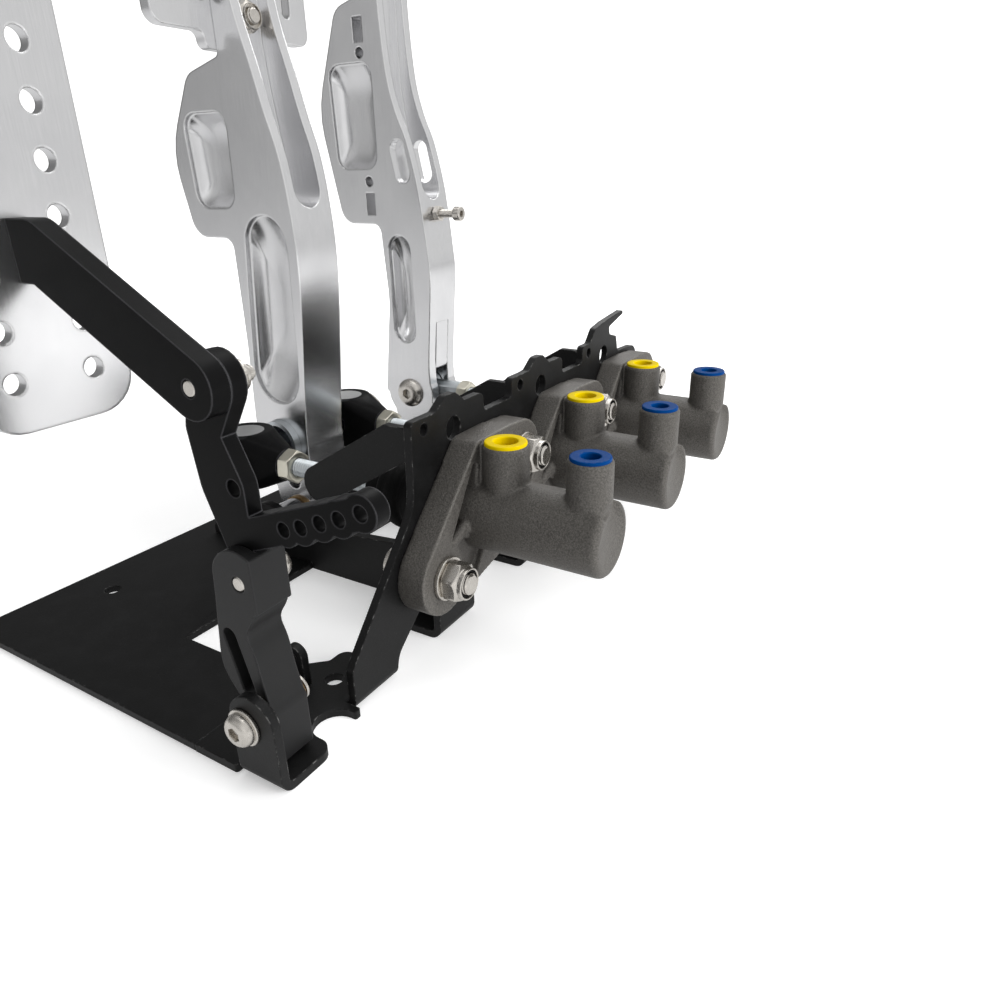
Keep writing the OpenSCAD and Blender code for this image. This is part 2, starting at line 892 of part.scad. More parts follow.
// Push rods with a collar at the piston end
clevis_r = 12;
clevis_h = 24;
clevis_nose_y = bar_y + 24;
rod_start = bar_y + trunnion_d / 2 + 1;
jam_h = 6.5;
module push_rod(a, start) {
    color(zinc)
        translate([a, 0, axis_z]) {
            rod_y(start, piston_y + socket_d - 0.3 - start, rod_d / 2);
            rod_y(collar_y, collar_t, collar_d / 2);
        }
}

module jam_nut(a, start) {
    color(zinc)
        translate([a, 0, axis_z])
            difference() {
                hex_y(start, jam_h, m8_flats);
                rod_y(start - through, jam_h + 2 * through, rod_d / 2 + running_fit);
            }
}

module push_rod_1() {
    push_rod(axes_x[0], rod_start);
}

module push_rod_2() {
    push_rod(axes_x[1], rod_start);
}

module jam_nut_1() {
    jam_nut(axes_x[0], clevis_nose_y);
}

module jam_nut_2() {
    jam_nut(axes_x[1], clevis_nose_y);
}

// Clevis blocks that carry the trunnions on the balance bar
nose_r = 7;
bar_window_r = bar_d / 2 + 2.2;
module clevis(a) {
    color(anodised_black)
        difference() {
            hull() {
                translate([a, bar_y, axis_z - clevis_h / 2])
                    cylinder(h = clevis_h, r = clevis_r, $fn = 32);
                translate([a, 0, axis_z])
                    rod_y(clevis_nose_y - 3, 3, nose_r, $fn = 32);
            }
            translate([a, bar_y, axis_z - clevis_h])
                cylinder(h = 2 * clevis_h, r = trunnion_d / 2 + running_fit);
            translate([a, bar_y, axis_z])
                rod_x(-2 * clevis_r, 4 * clevis_r, bar_window_r);
            translate([a, 0, axis_z])
                rod_y(bar_y, clevis_nose_y - bar_y + through, rod_d / 2 + running_fit);
        }
}

module clevis_1() {
    clevis(axes_x[0]);
}

module clevis_2() {
    clevis(axes_x[1]);
}

module trunnion(a) {
    color(zinc)
        difference() {
            translate([a, bar_y, axis_z - clevis_h / 2])
                cylinder(h = clevis_h, d = trunnion_d);
            translate([a, bar_y, axis_z])
                rod_x(-trunnion_d, 2 * trunnion_d, bar_d / 2 + arc_room);
        }
}

module trunnion_1() {
    trunnion(axes_x[0]);
}

module trunnion_2() {
    trunnion(axes_x[1]);
}

// Clutch rod with its eye on the clutch pin
eye_r = 11;
eye_w = 10;
eye_neck_r = 6.5;
eye_nose_y = bar_y + 27;
module rod_eye() {
    color(zinc)
        difference() {
            union() {
                translate([clutch_x, bar_y, axis_z])
                    rod_x(-eye_w / 2, eye_w, eye_r);
                intersection() {
                    translate([clutch_x, 0, axis_z])
                        rod_y(bar_y, eye_nose_y - bar_y, eye_neck_r);
                    translate([clutch_x - eye_w / 2, bar_y, axis_z - eye_r])
                        cube([eye_w, eye_nose_y - bar_y, 2 * eye_r]);
                }
            }
            translate([clutch_x, bar_y, axis_z])
                rod_x(-eye_w, 2 * eye_w, pin_d / 2 + arc_room);
            translate([clutch_x, 0, axis_z])
                rod_y(bar_y + eye_r, eye_nose_y - bar_y, rod_d / 2 + running_fit);
        }
}

module push_rod_3() {
    push_rod(clutch_x, bar_y + eye_r + 0.5);
}

module jam_nut_3() {
    jam_nut(clutch_x, eye_nose_y);
}

// Pedal pivots
pivot_head_h = 6;
pivot_flats = 16;
pivot_nut_h = 9;
spacer_d = 16;
bush_flange_t = 1.5;
bush_wall = 2;
bush_l = 9;
bush_r = pivot_d / 2 + running_fit + bush_wall;
bush_flange_r = bush_r + 1.5;
pedal_centres = [0, clutch_x];
module pivot_bolts() {
    color(zinc)
        for (m = pedal_centres)
            translate([m, pivot_y, pivot_z]) {
                hex_x(rail_out, pivot_head_h, pivot_flats);
                rod_x(-rail_out - pivot_nut_h - 1, 2 * rail_out + pivot_nut_h + 2, pivot_d / 2);
            }
}

module pivot_nuts() {
    color(zinc)
        for (m = pedal_centres)
            translate([m, pivot_y, pivot_z])
                difference() {
                    hex_x(-rail_out - pivot_nut_h, pivot_nut_h, pivot_flats);
                    rod_x(-rail_out - 2 * pivot_nut_h, 3 * pivot_nut_h, pivot_d / 2 + running_fit);
                }
}

spacer_start = arm_half + bush_flange_t + pass_room;
module pivot_spacers() {
    color(bright_aluminium)
        for (m = pedal_centres, side = [0, 1])
            mirror([side, 0, 0])
                translate([side == 0 ? m : -m, pivot_y, pivot_z])
                    difference() {
                        rod_x(spacer_start, rail_in - spacer_start, spacer_d / 2);
                        rod_x(0, rail_in + through, pivot_d / 2 + running_fit);
                    }
}

module bush_pair(m) {
    color(bronze)
        for (side = [0, 1])
            mirror([side, 0, 0])
                translate([side == 0 ? m : -m, pivot_y, pivot_z])
                    difference() {
                        union() {
                            rod_x(arm_half - bush_l, bush_l + through, bush_r);
                            rod_x(arm_half, bush_flange_t, bush_flange_r);
                        }
                        rod_x(0, arm_w, pivot_d / 2 + running_fit);
                    }
}

module brake_bushes() {
    bush_pair(0);
}

module clutch_bushes() {
    bush_pair(clutch_x);
}

// Pedal arms: front curve, head and lower boss in the side plane
// Heights are drawn for an arm that rises 244 above the axes and stretch with the arm
function up(z) = axis_z + (z - axis_z) * (arm_top_z - axis_z) / 244;
function stretch(points) = [for (p = points) len(p) > 2 ? [p[0], up(p[1]), p[2]] : [p[0], up(p[1])]];
hub_r = 11;
boss_r = 15.5;
head_fillet_r = 2;
head_step = 5;
pad_lift = 7;
head_low_z = up(141);
brake_pad_y = -42;
clutch_pad_y = -48;
brake_head_z = up(204);
clutch_head_z = up(241);
brake_pad_z = brake_head_z + pad_lift;
clutch_pad_z = clutch_head_z + pad_lift;
brake_pad_h = arm_top_z - 6 - brake_pad_z;
clutch_pad_h = arm_top_z + 4 - clutch_pad_z;
brake_front = stretch([[-19.2, 38], [-19.5, 55], [-16, 86], [-13, 114], [-12, 137], [-13.4, 158],
    [-16, 174], [-20.4, 188], [-25, 205], [-30, 222], [-33, 240], [-34, 262], [-34, 294]]);
clutch_front = stretch([[-19, 40], [-21, 63], [-19, 90], [-17, 115], [-18, 129], [-20.5, 150],
    [-23, 164], [-27.5, 181], [-33, 194], [-37.2, 210], [-39.5, 236], [-40, 262], [-40, 294]]);
brake_floor_y = -37;
clutch_floor_y = -44;
brake_floor = concat(stretch([[-30.5, 160.5], [-31.5, 172], [-34, 188], [-36, 203]]),
    [[brake_floor_y, brake_pad_z + 3]]);
clutch_floor = stretch([[-36, 160.5], [-38, 172], [-41, 188], [-43.5, 205], [clutch_floor_y, 222]]);
brake_rear = [
    [brake_pad_y, arm_top_z, 2],
    [brake_pad_y, brake_head_z + head_step, head_fillet_r],
    [-62, brake_head_z, 9],
    [-79, up(176), 30],
    [-72, head_low_z, 9],
    [-49, head_low_z, 5],
    [-49.5, up(95), 60],
    [-52, axis_z, 0],
    [-40, axis_z - 10, 0]
];
clutch_rear = [
    [clutch_pad_y, arm_top_z, 2],
    [clutch_pad_y, clutch_head_z + head_step, head_fillet_r],
    [-67, clutch_head_z, 9],
    [-84, up(196), 42],
    [-73, head_low_z, 9],
    [-48, head_low_z, 5],
    [-45.5, up(101), 60],
    [-52, axis_z, 0],
    [-40, axis_z - 10, 0]
];

module arm_blank(front, rear) {
    along_x(-arm_half, arm_w)
        union() {
            polygon(rounded(concat(sharp(spline(front)), rear)));
            translate([bar_y, axis_z])
                circle(r = boss_r);
            polygon(belt([[pivot_y, pivot_z, hub_r], [bar_y, axis_z, boss_r - 2]]));
        }
}

// Groove down the front of an arm with a round lower end
module arm_groove(floor_points) {
    low = floor_points[0];
    high = floor_points[len(floor_points) - 1];
    along_x(-groove_w / 2, groove_w)
        polygon(concat(spline(floor_points),
            [[high.x, arm_top_z + 2], [0, arm_top_z + 2], [0, low.y]]));
    translate([0, 0, low.y])
        rod_y(low.x, -low.x, groove_w / 2);
}

// Pocket cut to a depth from the near (+1) or far (-1) face
module side_pocket(face, depth, circles) {
    along_x(face > 0 ? arm_half - depth : -arm_half - through, depth + through)
        polygon(belt(circles));
}

pad_bolt_rise = [12, 34];
light_hole = [-31.5, 31.2, 4];
brake_pocket = stretch([[-33.5, 83, 14], [-29.5, 138, 12.5]]);
brake_head_pocket = stretch([[-61, 160, 7], [-51, 160, 7], [-50, 183, 7], [-62, 183, 7]]);
clutch_pocket = stretch([[-36, 86, 7.5], [-36.5, 128, 7.5]]);
clutch_head_pocket = stretch([[-67, 175, 7], [-54, 175, 7], [-54, 210, 7], [-68, 210, 7]]);
clutch_window = stretch([[-31, 165.5, 4.5], [-33.5, 177, 4.5]]);

module arm_bores() {
    translate([0, pivot_y, pivot_z])
        rod_x(-arm_w, 2 * arm_w, bush_r);
    translate([0, light_hole[0], light_hole[1]])
        rod_x(-arm_w, 2 * arm_w, light_hole[2]);
}

module pad_holes(pad_z, face_y) {
    for (rise = pad_bolt_rise)
        translate([0, 0, pad_z + rise])
            rod_y(face_y - 4 * pad_t, 8 * pad_t, m6_d / 2 + bolt_room);
}

module brake_arm() {
    color(bright_aluminium)
        difference() {
            arm_blank(brake_front, brake_rear);
            arm_groove(brake_floor);
            arm_bores();
            side_pocket(1, near_pocket_d, brake_pocket);
            side_pocket(-1, far_pocket_d, brake_pocket);
            side_pocket(1, near_pocket_d, brake_head_pocket);
            translate([0, bar_y, axis_z])
                rod_x(-arm_w, 2 * arm_w, tube_d / 2);
            pad_holes(brake_pad_z, brake_pad_y);
        }
}

// Clutch arm: fork slot for the rod eye, head pocket, window, captive nut slots
fork_w = eye_w + 2 * pass_room + 0.4;
fork_r = eye_r + 3;
fork_top_z = up(90);
fork_floor_y = -28;
nut_slot = [6, 11];
nut_slot_y = -56.5;
nut_slot_z = [up(145.5), up(225.5)];
nut_hole_z = [up(162), up(221)];
nut_hole_y = -53.5;
nut_hole_r = 2.5;
nut_cut_d = 9;
stop_z = up(146);
stop_y = -27;
stop_l = 30;
stop_d = 4;
stop_nut_y = -19.6;
stop_nut_h = 3.2;
stop_nut_flats = 7;
stop_head_d = 7;
stop_head_h = 4;
module clutch_fork() {
    translate([0, bar_y, axis_z])
        rod_x(-fork_w / 2, fork_w, fork_r);
    translate([-fork_w / 2, fork_floor_y, axis_z - fork_r])
        cube([fork_w, 30, fork_top_z - axis_z + fork_r]);
    translate([-fork_w / 2, bar_y, axis_z - fork_r])
        cube([fork_w, 40, 2 * fork_r]);
}

module captive_nut_cuts() {
    for (z = nut_slot_z)
        translate([arm_half - nut_cut_d, nut_slot_y, z])
            cube([nut_cut_d + through, nut_slot.x, nut_slot.y]);
    for (z = nut_hole_z)
        translate([0, nut_hole_y, z])
            rod_x(arm_half - nut_cut_d, nut_cut_d + through, nut_hole_r);
}

module clutch_arm() {
    color(bright_aluminium)
        translate([clutch_x, 0, 0])
            difference() {
                arm_blank(clutch_front, clutch_rear);
                arm_groove(clutch_floor);
                arm_bores();
                side_pocket(1, near_pocket_d - 2, clutch_pocket);
                side_pocket(-1, far_pocket_d, clutch_pocket);
                side_pocket(1, near_pocket_d + 2, clutch_head_pocket);
                along_x(-arm_w, 2 * arm_w)
                    polygon(belt(clutch_window));
                captive_nut_cuts();
                clutch_fork();
                translate([0, bar_y, axis_z])
                    rod_x(-arm_w, 2 * arm_w, pin_d / 2 + running_fit);
                translate([0, 0, stop_z])
                    rod_y(stop_y, stop_l, stop_d / 2 + running_fit);
                pad_holes(clutch_pad_z, clutch_pad_y);
            }
}

// Foot pads with adjusting slots, grip holes and a rounded neck
pad_corner_r = 5;
neck_half = 17;
neck_drop = 6;
pad_slot_x = 28;
pad_slot_w = 5;
pad_slot_end = 12;
grip_d = 6;
grip_x = 16;
grip_step = 13;
module foot_pad(pad_z, pad_h, face_y) {
    low = pad_z + neck_drop;
    high = pad_z + pad_h;
    half = pad_w / 2;
    difference() {
        along_y(face_y, pad_t)
            polygon(rounded([[-neck_half, pad_z, 3], [neck_half, pad_z, 3],
                [neck_half, low, 3], [half, low, pad_corner_r],
                [half, high, pad_corner_r], [-half, high, pad_corner_r],
                [-half, low, pad_corner_r], [-neck_half, low, 3]]));
        for (side = [-1, 1]) {
            along_y(face_y + through, pad_t + 2 * through)
                polygon(belt([[side * pad_slot_x, low + pad_slot_end, pad_slot_w / 2],
                    [side * pad_slot_x, high - pad_slot_end, pad_slot_w / 2]]));
            for (z = [low + grip_step:grip_step:high - grip_step / 2])
                translate([side * grip_x, 0, z])
                    rod_y(face_y - pad_t - through, pad_t + 2 * through, grip_d / 2);
        }
        pad_holes(pad_z, face_y);
    }
}

module brake_pad() {
    color(bright_aluminium)
        foot_pad(brake_pad_z, brake_pad_h, brake_pad_y);
}

module clutch_pad() {
    color(bright_aluminium)
        translate([clutch_x, 0, 0])
            foot_pad(clutch_pad_z, clutch_pad_h, clutch_pad_y);
}

// Pad bolts: round heads on the pad, hex nuts in the groove
module pad_bolts(pad_z, face_y, floor_y) {
    for (rise = pad_bolt_rise)
        translate([0, 0, pad_z + rise]) {
            rod_y(face_y - pad_t - m6_head_h, m6_head_h, m6_flats / 2);
            rod_y(face_y - pad_t - through, floor_y - face_y + pad_t + m6_nut_h + 2 * through,
                m6_d / 2);
            hex_y(floor_y, m6_nut_h, m6_flats);
        }
}

module brake_pad_bolts() {
    color(zinc)
        pad_bolts(brake_pad_z, brake_pad_y, brake_floor_y);
}

module clutch_pad_bolts() {
    color(zinc)
        translate([clutch_x, 0, 0])
            pad_bolts(clutch_pad_z, clutch_pad_y, clutch_floor_y);
}

// Balance bar in its tube and ball bearing
tube_wall = 2;
tube_l = 31;
ball_w = 14;
bias_nut_h = 6;
bias_nut_flats = 15;
module bias_tube() {
    color(zinc)
        translate([0, bar_y, axis_z])
            difference() {
                rod_x(-tube_l / 2, tube_l, tube_d / 2);
                rod_x(-tube_l, 2 * tube_l, tube_d / 2 - tube_wall);
            }
}

ball_r = tube_d / 2 - tube_wall - running_fit;
ball_turn = asin(ball_w / 2 / ball_r);
ball_profile = concat(
    [[bar_d / 2 + running_fit, ball_w / 2], [bar_d / 2 + running_fit, -ball_w / 2]],
    [for (k = [-6:6]) ball_r * [cos(ball_turn * k / 6), sin(ball_turn * k / 6)]]
);
module bias_bearing() {
    color(bright_aluminium)
        translate([0, bar_y, axis_z])
            rotate([0, 90, 0])
                rotate_extrude()
                    polygon(ball_profile);
}

module bias_bar() {
    color(zinc)
        translate([0, bar_y, axis_z])
            rod_x(-bar_l / 2, bar_l, bar_d / 2);
}

bias_nut_x = cylinder_pitch / 2 + clevis_r + 1;
module bias_nuts() {
    color(zinc)
        for (side = [0, 1])
            mirror([side, 0, 0])
                translate([0, bar_y, axis_z])
                    difference() {
                        hex_x(bias_nut_x, bias_nut_h, bias_nut_flats);
                        rod_x(0, bar_l, bar_d / 2 + running_fit);
                    }
}

// Clutch pin with a round head and a nut
pin_head_h = 4;
pin_head_d = 16;
pin_nut_h = 6;
module clutch_pin() {
    color(zinc)
        translate([clutch_x, bar_y, axis_z]) {
            rod_x(-arm_half - pin_nut_h - 1, arm_w + pin_nut_h + 1, pin_d / 2);
            rod_x(arm_half, pin_head_h, pin_head_d / 2);
            hex_x(-arm_half - pin_nut_h, pin_nut_h, bias_nut_flats);
        }
}

// Travel stop screw with its lock nut on the clutch arm
module clutch_stop() {
    color(zinc)
        translate([clutch_x, 0, stop_z]) {
            rod_y(stop_y, stop_l, stop_d / 2);
            hex_y(stop_nut_y, stop_nut_h, stop_nut_flats);
            rod_y(stop_y + stop_l - stop_head_h, stop_head_h, stop_head_d / 2);
        }
}

// Throttle arm: curved fork that clamps the crank plate
throttle_hub_r = 5.6;
throttle_tail = [4, 16.2];
dowel = [74.4, 64.3];
dowel_d = 4.6;
dowel_head_h = 4;
dowel_head_d = 9.4;
head_r = 10;
head_front = 5.7;
shank_r = 3.8;
fork_slot_z = dowel.y - shank_r - 1;
throttle_bush_wall = 1;
throttle_bush_r = throttle_bolt_d / 2 + running_fit + throttle_bush_wall;
throttle_front = [[throttle_y + throttle_hub_r, throttle_z], [78, 30], [76.2, 41], [74.4, 47.6],
    [78.2, 54.2], [dowel.x + head_front, dowel.y - 2]];
throttle_rear = [[dowel.x - head_r, dowel.y], [63.5, 56], [62.2, 46], [61.6, 33],
    [throttle_y - throttle_hub_r, throttle_z]];
throttle_slot = [[71.2, 28.8, 2.6], [66.8, 45.5, 2.6]];

module throttle_arm() {
    color(anodised_black)
        difference() {
            along_x(throttle_x, throttle_w)
                union() {
                    polygon(concat(spline(throttle_front), spline(throttle_rear)));
                    intersection() {
                        translate(dowel)
                            circle(r = head_r);
                        translate([dowel.x - head_r, dowel.y - head_r])
                            square([head_r + head_front, 2 * head_r]);
                    }
                    translate([throttle_y, throttle_z])
                        circle(r = throttle_hub_r);
                    translate([throttle_y - throttle_tail.x, throttle_z - throttle_tail.y])
                        square([throttle_tail.x + throttle_hub_r, throttle_tail.y]);
                }
            along_x(throttle_x - through, throttle_w + 2 * through)
                polygon(belt(throttle_slot));
            translate([crank_x - crank_t / 2 - running_fit, 0, fork_slot_z])
                cube([crank_t + 2 * running_fit, dowel.x + shank_r + 0.1, 3 * head_r]);
            translate([0, throttle_y, throttle_z])
                rod_x(throttle_x - through, throttle_w + 2 * through, throttle_bush_r);
            translate([0, dowel.x, dowel.y])
                rod_x(throttle_x - through, throttle_w + 2 * through, dowel_d / 2 + running_fit);
        }
}

module throttle_bush() {
    color(bronze)
        translate([0, throttle_y, throttle_z])
            difference() {
                rod_x(throttle_x - 1, throttle_w + 2, throttle_bush_r - 0.02);
                rod_x(throttle_x - 2, throttle_w + 4, throttle_bolt_d / 2 + running_fit);
            }
}

// Crank plate: row of cable holes forward, arm for the pad bar upward
cable_holes = [[90.7, 82.7], [96.9, 84.7], [103.6, 87.4], [110.1, 89.9], [117.2, 93]];
lobe_r = 5;
lever_half = 4.3;
lever_root = [77.5, 78.2, 4.6];
pad_bar_pin = [71.8, 118.4];
pad_bar_r = 8.2;
elbow = [74.2, 90.8];
knee = [69.7, 90.5, 8.4];
neck = [65.8, 105, 6.2];
elbow_hole_d = 5;
module crank_outline() {
    polygon(belt([lever_root, concat(cable_holes[4], lever_half)]));
    for (p = cable_holes)
        translate(p)
            circle(r = lobe_r);
    polygon(belt([concat(dowel, shank_r), knee]));
    polygon(belt([knee, neck]));
    polygon(belt([neck, concat(pad_bar_pin, pad_bar_r)]));
}

module throttle_crank() {
    color(anodised_black)
        difference() {
            along_x(crank_x - crank_t / 2, crank_t)
                crank_outline();
            for (p = cable_holes)
                translate([0, p.x, p.y])
                    rod_x(crank_x - crank_t, 2 * crank_t, cable_hole_d / 2);
            translate([0, elbow.x, elbow.y])
                rod_x(crank_x - crank_t, 2 * crank_t, elbow_hole_d / 2);
            for (p = [dowel, pad_bar_pin])
                translate([0, p.x, p.y])
                    rod_x(crank_x - crank_t, 2 * crank_t, dowel_d / 2 + running_fit);
        }
}

// Dowel screws of the fork and of the pad bar
pad_bar_t = 6;
pad_bar_x = crank_x + crank_t / 2;
module throttle_dowels() {
    color(zinc) {
        translate([0, dowel.x, dowel.y]) {
            rod_x(throttle_x, throttle_w, dowel_d / 2);
            rod_x(throttle_x - dowel_head_h, dowel_head_h, dowel_head_d / 2);
        }
        translate([0, pad_bar_pin.x, pad_bar_pin.y]) {
            rod_x(crank_x - crank_t / 2, crank_t + pad_bar_t, dowel_d / 2);
            rod_x(crank_x - crank_t / 2 - dowel_head_h, dowel_head_h, dowel_head_d / 2);
        }
    }
}

// Pad bar on the near side of the crank and the long foot pad
throttle_pad_y = 6;
throttle_pad_t = 4;
pad_bar_end = [throttle_pad_y + throttle_pad_t + pad_bar_r, 148];
throttle_pad_w = 46;
throttle_pad_low = 100;
throttle_pad_high = 226;
module throttle_pad_arm() {
    color(anodised_black)
        difference() {
            along_x(pad_bar_x, pad_bar_t)
                union() {
                    polygon(belt([concat(pad_bar_pin, pad_bar_r), concat(pad_bar_end, pad_bar_r)]));
                    translate([throttle_pad_y + throttle_pad_t, pad_bar_end.y - pad_bar_r])
                        square([pad_bar_end.x - throttle_pad_y - throttle_pad_t, 2 * pad_bar_r]);
                }
            translate([0, pad_bar_pin.x, pad_bar_pin.y])
                rod_x(pad_bar_x - through, pad_bar_t + 2 * through, dowel_d / 2 + running_fit);
        }
}

throttle_grip_step = 14;
module throttle_pad() {
    half = throttle_pad_w / 2;
    middle = pad_bar_x + pad_bar_t / 2;
    color(bright_aluminium)
        difference() {
            along_y(throttle_pad_y + throttle_pad_t, throttle_pad_t)
                polygon(rounded([[middle - half, throttle_pad_low, 12],
                    [middle + half, throttle_pad_low, 12],
                    [middle + half, throttle_pad_high, 12],
                    [middle - half, throttle_pad_high, 12]]));
            for (z = [throttle_pad_low + throttle_grip_step:throttle_grip_step:throttle_pad_high - 8],
                side = [-1, 1])
                translate([middle + side * half / 2, 0, z])
                    rod_y(throttle_pad_y - through, throttle_pad_t + 2 * through, grip_d / 2);
        }
}

// Throttle pivot bolt through the ear with its spacer and end ring
throttle_head_h = 3.3;
throttle_head_d = 10.5;
throttle_washer_d = 12;
throttle_washer_t = 1.2;
throttle_ring_t = 1;
throttle_ring_d = 8.4;
throttle_bolt_end = throttle_x - 1 - pass_room;
throttle_spacer_x = throttle_x + throttle_w + 1 + pass_room;
module throttle_bolt() {
    color(zinc)
        translate([0, throttle_y, throttle_z]) {
            rod_x(throttle_bolt_end - throttle_ring_t, base_half_w - throttle_bolt_end + throttle_ring_t,
                throttle_bolt_d / 2);
            rod_x(base_half_w, throttle_washer_t, throttle_washer_d / 2);
            rod_x(base_half_w, throttle_washer_t + throttle_head_h, throttle_head_d / 2);
            rod_x(throttle_bolt_end - throttle_ring_t, throttle_ring_t, throttle_ring_d / 2);
            rod_x(throttle_spacer_x, ear_x - throttle_spacer_x, throttle_bolt_d / 2 + 2);
        }
}

base_plate();
bulkhead();
brake_rails();
clutch_rails();
cylinder_body_1();
cylinder_body_2();
cylinder_body_3();
feed_plugs();
outlet_plugs();
flange_bolts();
flange_washers();
flange_nuts();
bore_clips();
return_spring_1();
return_spring_2();
return_spring_3();
boot_1();
boot_2();
boot_3();
piston_1();
piston_2();
piston_3();
seal_1();
seal_2();
seal_3();
push_rod_1();
push_rod_2();
push_rod_3();
jam_nut_1();
jam_nut_2();
jam_nut_3();
clevis_1();
clevis_2();
trunnion_1();
trunnion_2();
rod_eye();
pivot_bolts();
pivot_nuts();
pivot_spacers();
brake_arm();
brake_bushes();
brake_pad();
brake_pad_bolts();
bias_tube();
bias_bearing();
bias_bar();
bias_nuts();
clutch_arm();
clutch_bushes();
clutch_pad();
clutch_pad_bolts();
clutch_pin();
clutch_stop();
throttle_arm();
throttle_bush();
throttle_crank();
throttle_dowels();
throttle_pad_arm();
throttle_pad();
throttle_bolt();
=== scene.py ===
"""Racing pedal box: finishes, fine pieces, floor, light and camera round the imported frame."""
import json
import bmesh
import bpy
import numpy as np
from mathutils import Matrix, Vector


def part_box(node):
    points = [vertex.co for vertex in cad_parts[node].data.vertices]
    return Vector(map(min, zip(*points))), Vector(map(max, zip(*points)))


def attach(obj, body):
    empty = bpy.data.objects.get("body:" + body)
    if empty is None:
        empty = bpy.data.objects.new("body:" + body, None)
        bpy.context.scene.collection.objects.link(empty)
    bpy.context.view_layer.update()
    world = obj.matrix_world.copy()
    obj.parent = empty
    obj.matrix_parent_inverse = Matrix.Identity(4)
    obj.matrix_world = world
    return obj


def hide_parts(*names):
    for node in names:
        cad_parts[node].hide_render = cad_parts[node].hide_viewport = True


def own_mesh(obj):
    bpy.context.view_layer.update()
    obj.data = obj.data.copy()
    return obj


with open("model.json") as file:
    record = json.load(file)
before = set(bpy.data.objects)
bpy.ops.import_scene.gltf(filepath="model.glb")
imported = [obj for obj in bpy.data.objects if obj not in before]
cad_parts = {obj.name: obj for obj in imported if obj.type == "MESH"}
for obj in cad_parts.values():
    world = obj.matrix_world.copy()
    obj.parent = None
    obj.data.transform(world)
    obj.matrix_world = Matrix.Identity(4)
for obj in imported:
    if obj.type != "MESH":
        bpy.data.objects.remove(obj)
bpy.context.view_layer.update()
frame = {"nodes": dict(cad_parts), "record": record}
NODE = frame["nodes"]
MM = 0.001


class Value:
    """A shader socket; arithmetic on it adds Math nodes to the finish it belongs to."""

    def __init__(self, finish, socket):
        self.finish = finish
        self.socket = socket

    def math(self, operation, *others):
        values = (self,) + others
        return self.finish.node("ShaderNodeMath", {"operation": operation}, dict(enumerate(values)))

    def __add__(self, other):
        return self.math("ADD", other)

    __radd__ = __add__

    def __mul__(self, other):
        return self.math("MULTIPLY", other)

    __rmul__ = __mul__

    def __sub__(self, other):
        return self.math("SUBTRACT", other)

    def __rsub__(self, other):
        return (self * -1.0) + other

    def step(self, low, high):
        """0 below low, 1 above high, smooth between."""
        settings = {"interpolation_type": "SMOOTHSTEP"}
        sockets = {"Value": self, "From Min": low, "From Max": high}
        return self.finish.node("ShaderNodeMapRange", settings, sockets)


class Finish:
    """A node material built from expressions on Value sockets."""

    def __init__(self, name, surround=None):
        self.material = surround or bpy.data.materials.new(name)
        self.material.use_nodes = True
        self.tree = self.material.node_tree
        self.shader = self.tree.nodes["Background" if surround else "Principled BSDF"]
        self.place = self.node("ShaderNodeTexCoord", out="Generated" if surround else "Object")

    def node(self, kind, settings=None, sockets=None, out=0):
        """Adds a node: its settings first, then the values or links of its sockets."""
        made = self.tree.nodes.new(kind)
        for key, value in (settings or {}).items():
            setattr(made, key, value)
        for key, value in (sockets or {}).items():
            self.feed(made.inputs[key], value)
        return Value(self, made.outputs[out])

    def feed(self, socket, value):
        """Links a Value to a socket, or sets a plain number, colour or vector on it."""
        if isinstance(value, Value):
            self.tree.links.new(value.socket, socket)
        elif isinstance(value, tuple) and len(value) == 3 and socket.type == "RGBA":
            socket.default_value = (*value, 1.0)
        else:
            socket.default_value = value

    def axes(self):
        """The place split into x, y and z."""
        split = self.tree.nodes.new("ShaderNodeSeparateXYZ")
        self.feed(split.inputs[0], self.place)
        return [Value(self, part) for part in split.outputs]

    def stretched(self, scale):
        """Object place scaled unevenly, for brushed and drawn finishes."""
        return self.node("ShaderNodeMapping", {}, {"Vector": self.place, "Scale": scale})

    def noise(self, size, detail=3.0, rough=0.55, place=None):
        """Noise between 0 and 1 with features about size metres across."""
        sockets = {"Vector": place or self.place, "Scale": 1.0 / size, "Detail": detail,
                   "Roughness": rough}
        return self.node("ShaderNodeTexNoise", {}, sockets)

    def cells(self, size, randomness=1.0):
        """Distance to the nearest of scattered points about size metres apart."""
        sockets = {"Vector": self.place, "Scale": 1.0 / size, "Randomness": randomness}
        return self.node("ShaderNodeTexVoronoi", {}, sockets)

    def mix(self, share, first, second):
        """Colour between first and second."""
        settings = {"data_type": "RGBA"}
        return self.node("ShaderNodeMix", settings, {0: share, 6: first, 7: second}, out=2)

    def edges(self, radius):
        """Rounded normal and a mask that is 1 on outside and inside edges."""
        soft = self.node("ShaderNodeBevel", {"samples": 6}, {"Radius": radius})
        plain = self.node("ShaderNodeNewGeometry", out="Normal")
        along = self.node("ShaderNodeVectorMath", {"operation": "DOT_PRODUCT"},
                          {0: soft, 1: plain}, out="Value")
        return soft, (1.0 - along).step(0.004, 0.10)

    def bump(self, height, depth, normal=None, strength=1.0):
        """Normal tilted by a height field of depth metres."""
        sockets = {"Height": height, "Distance": depth, "Strength": strength}
        if normal is not None:
            sockets["Normal"] = normal
        return self.node("ShaderNodeBump", {}, sockets)

    def surface(self, **sockets):
        """Sets the shader's sockets, with underscores for the spaces in their names."""
        for key, value in sockets.items():
            self.feed(self.shader.inputs[key.replace("_", " ")], value)
        return self.material


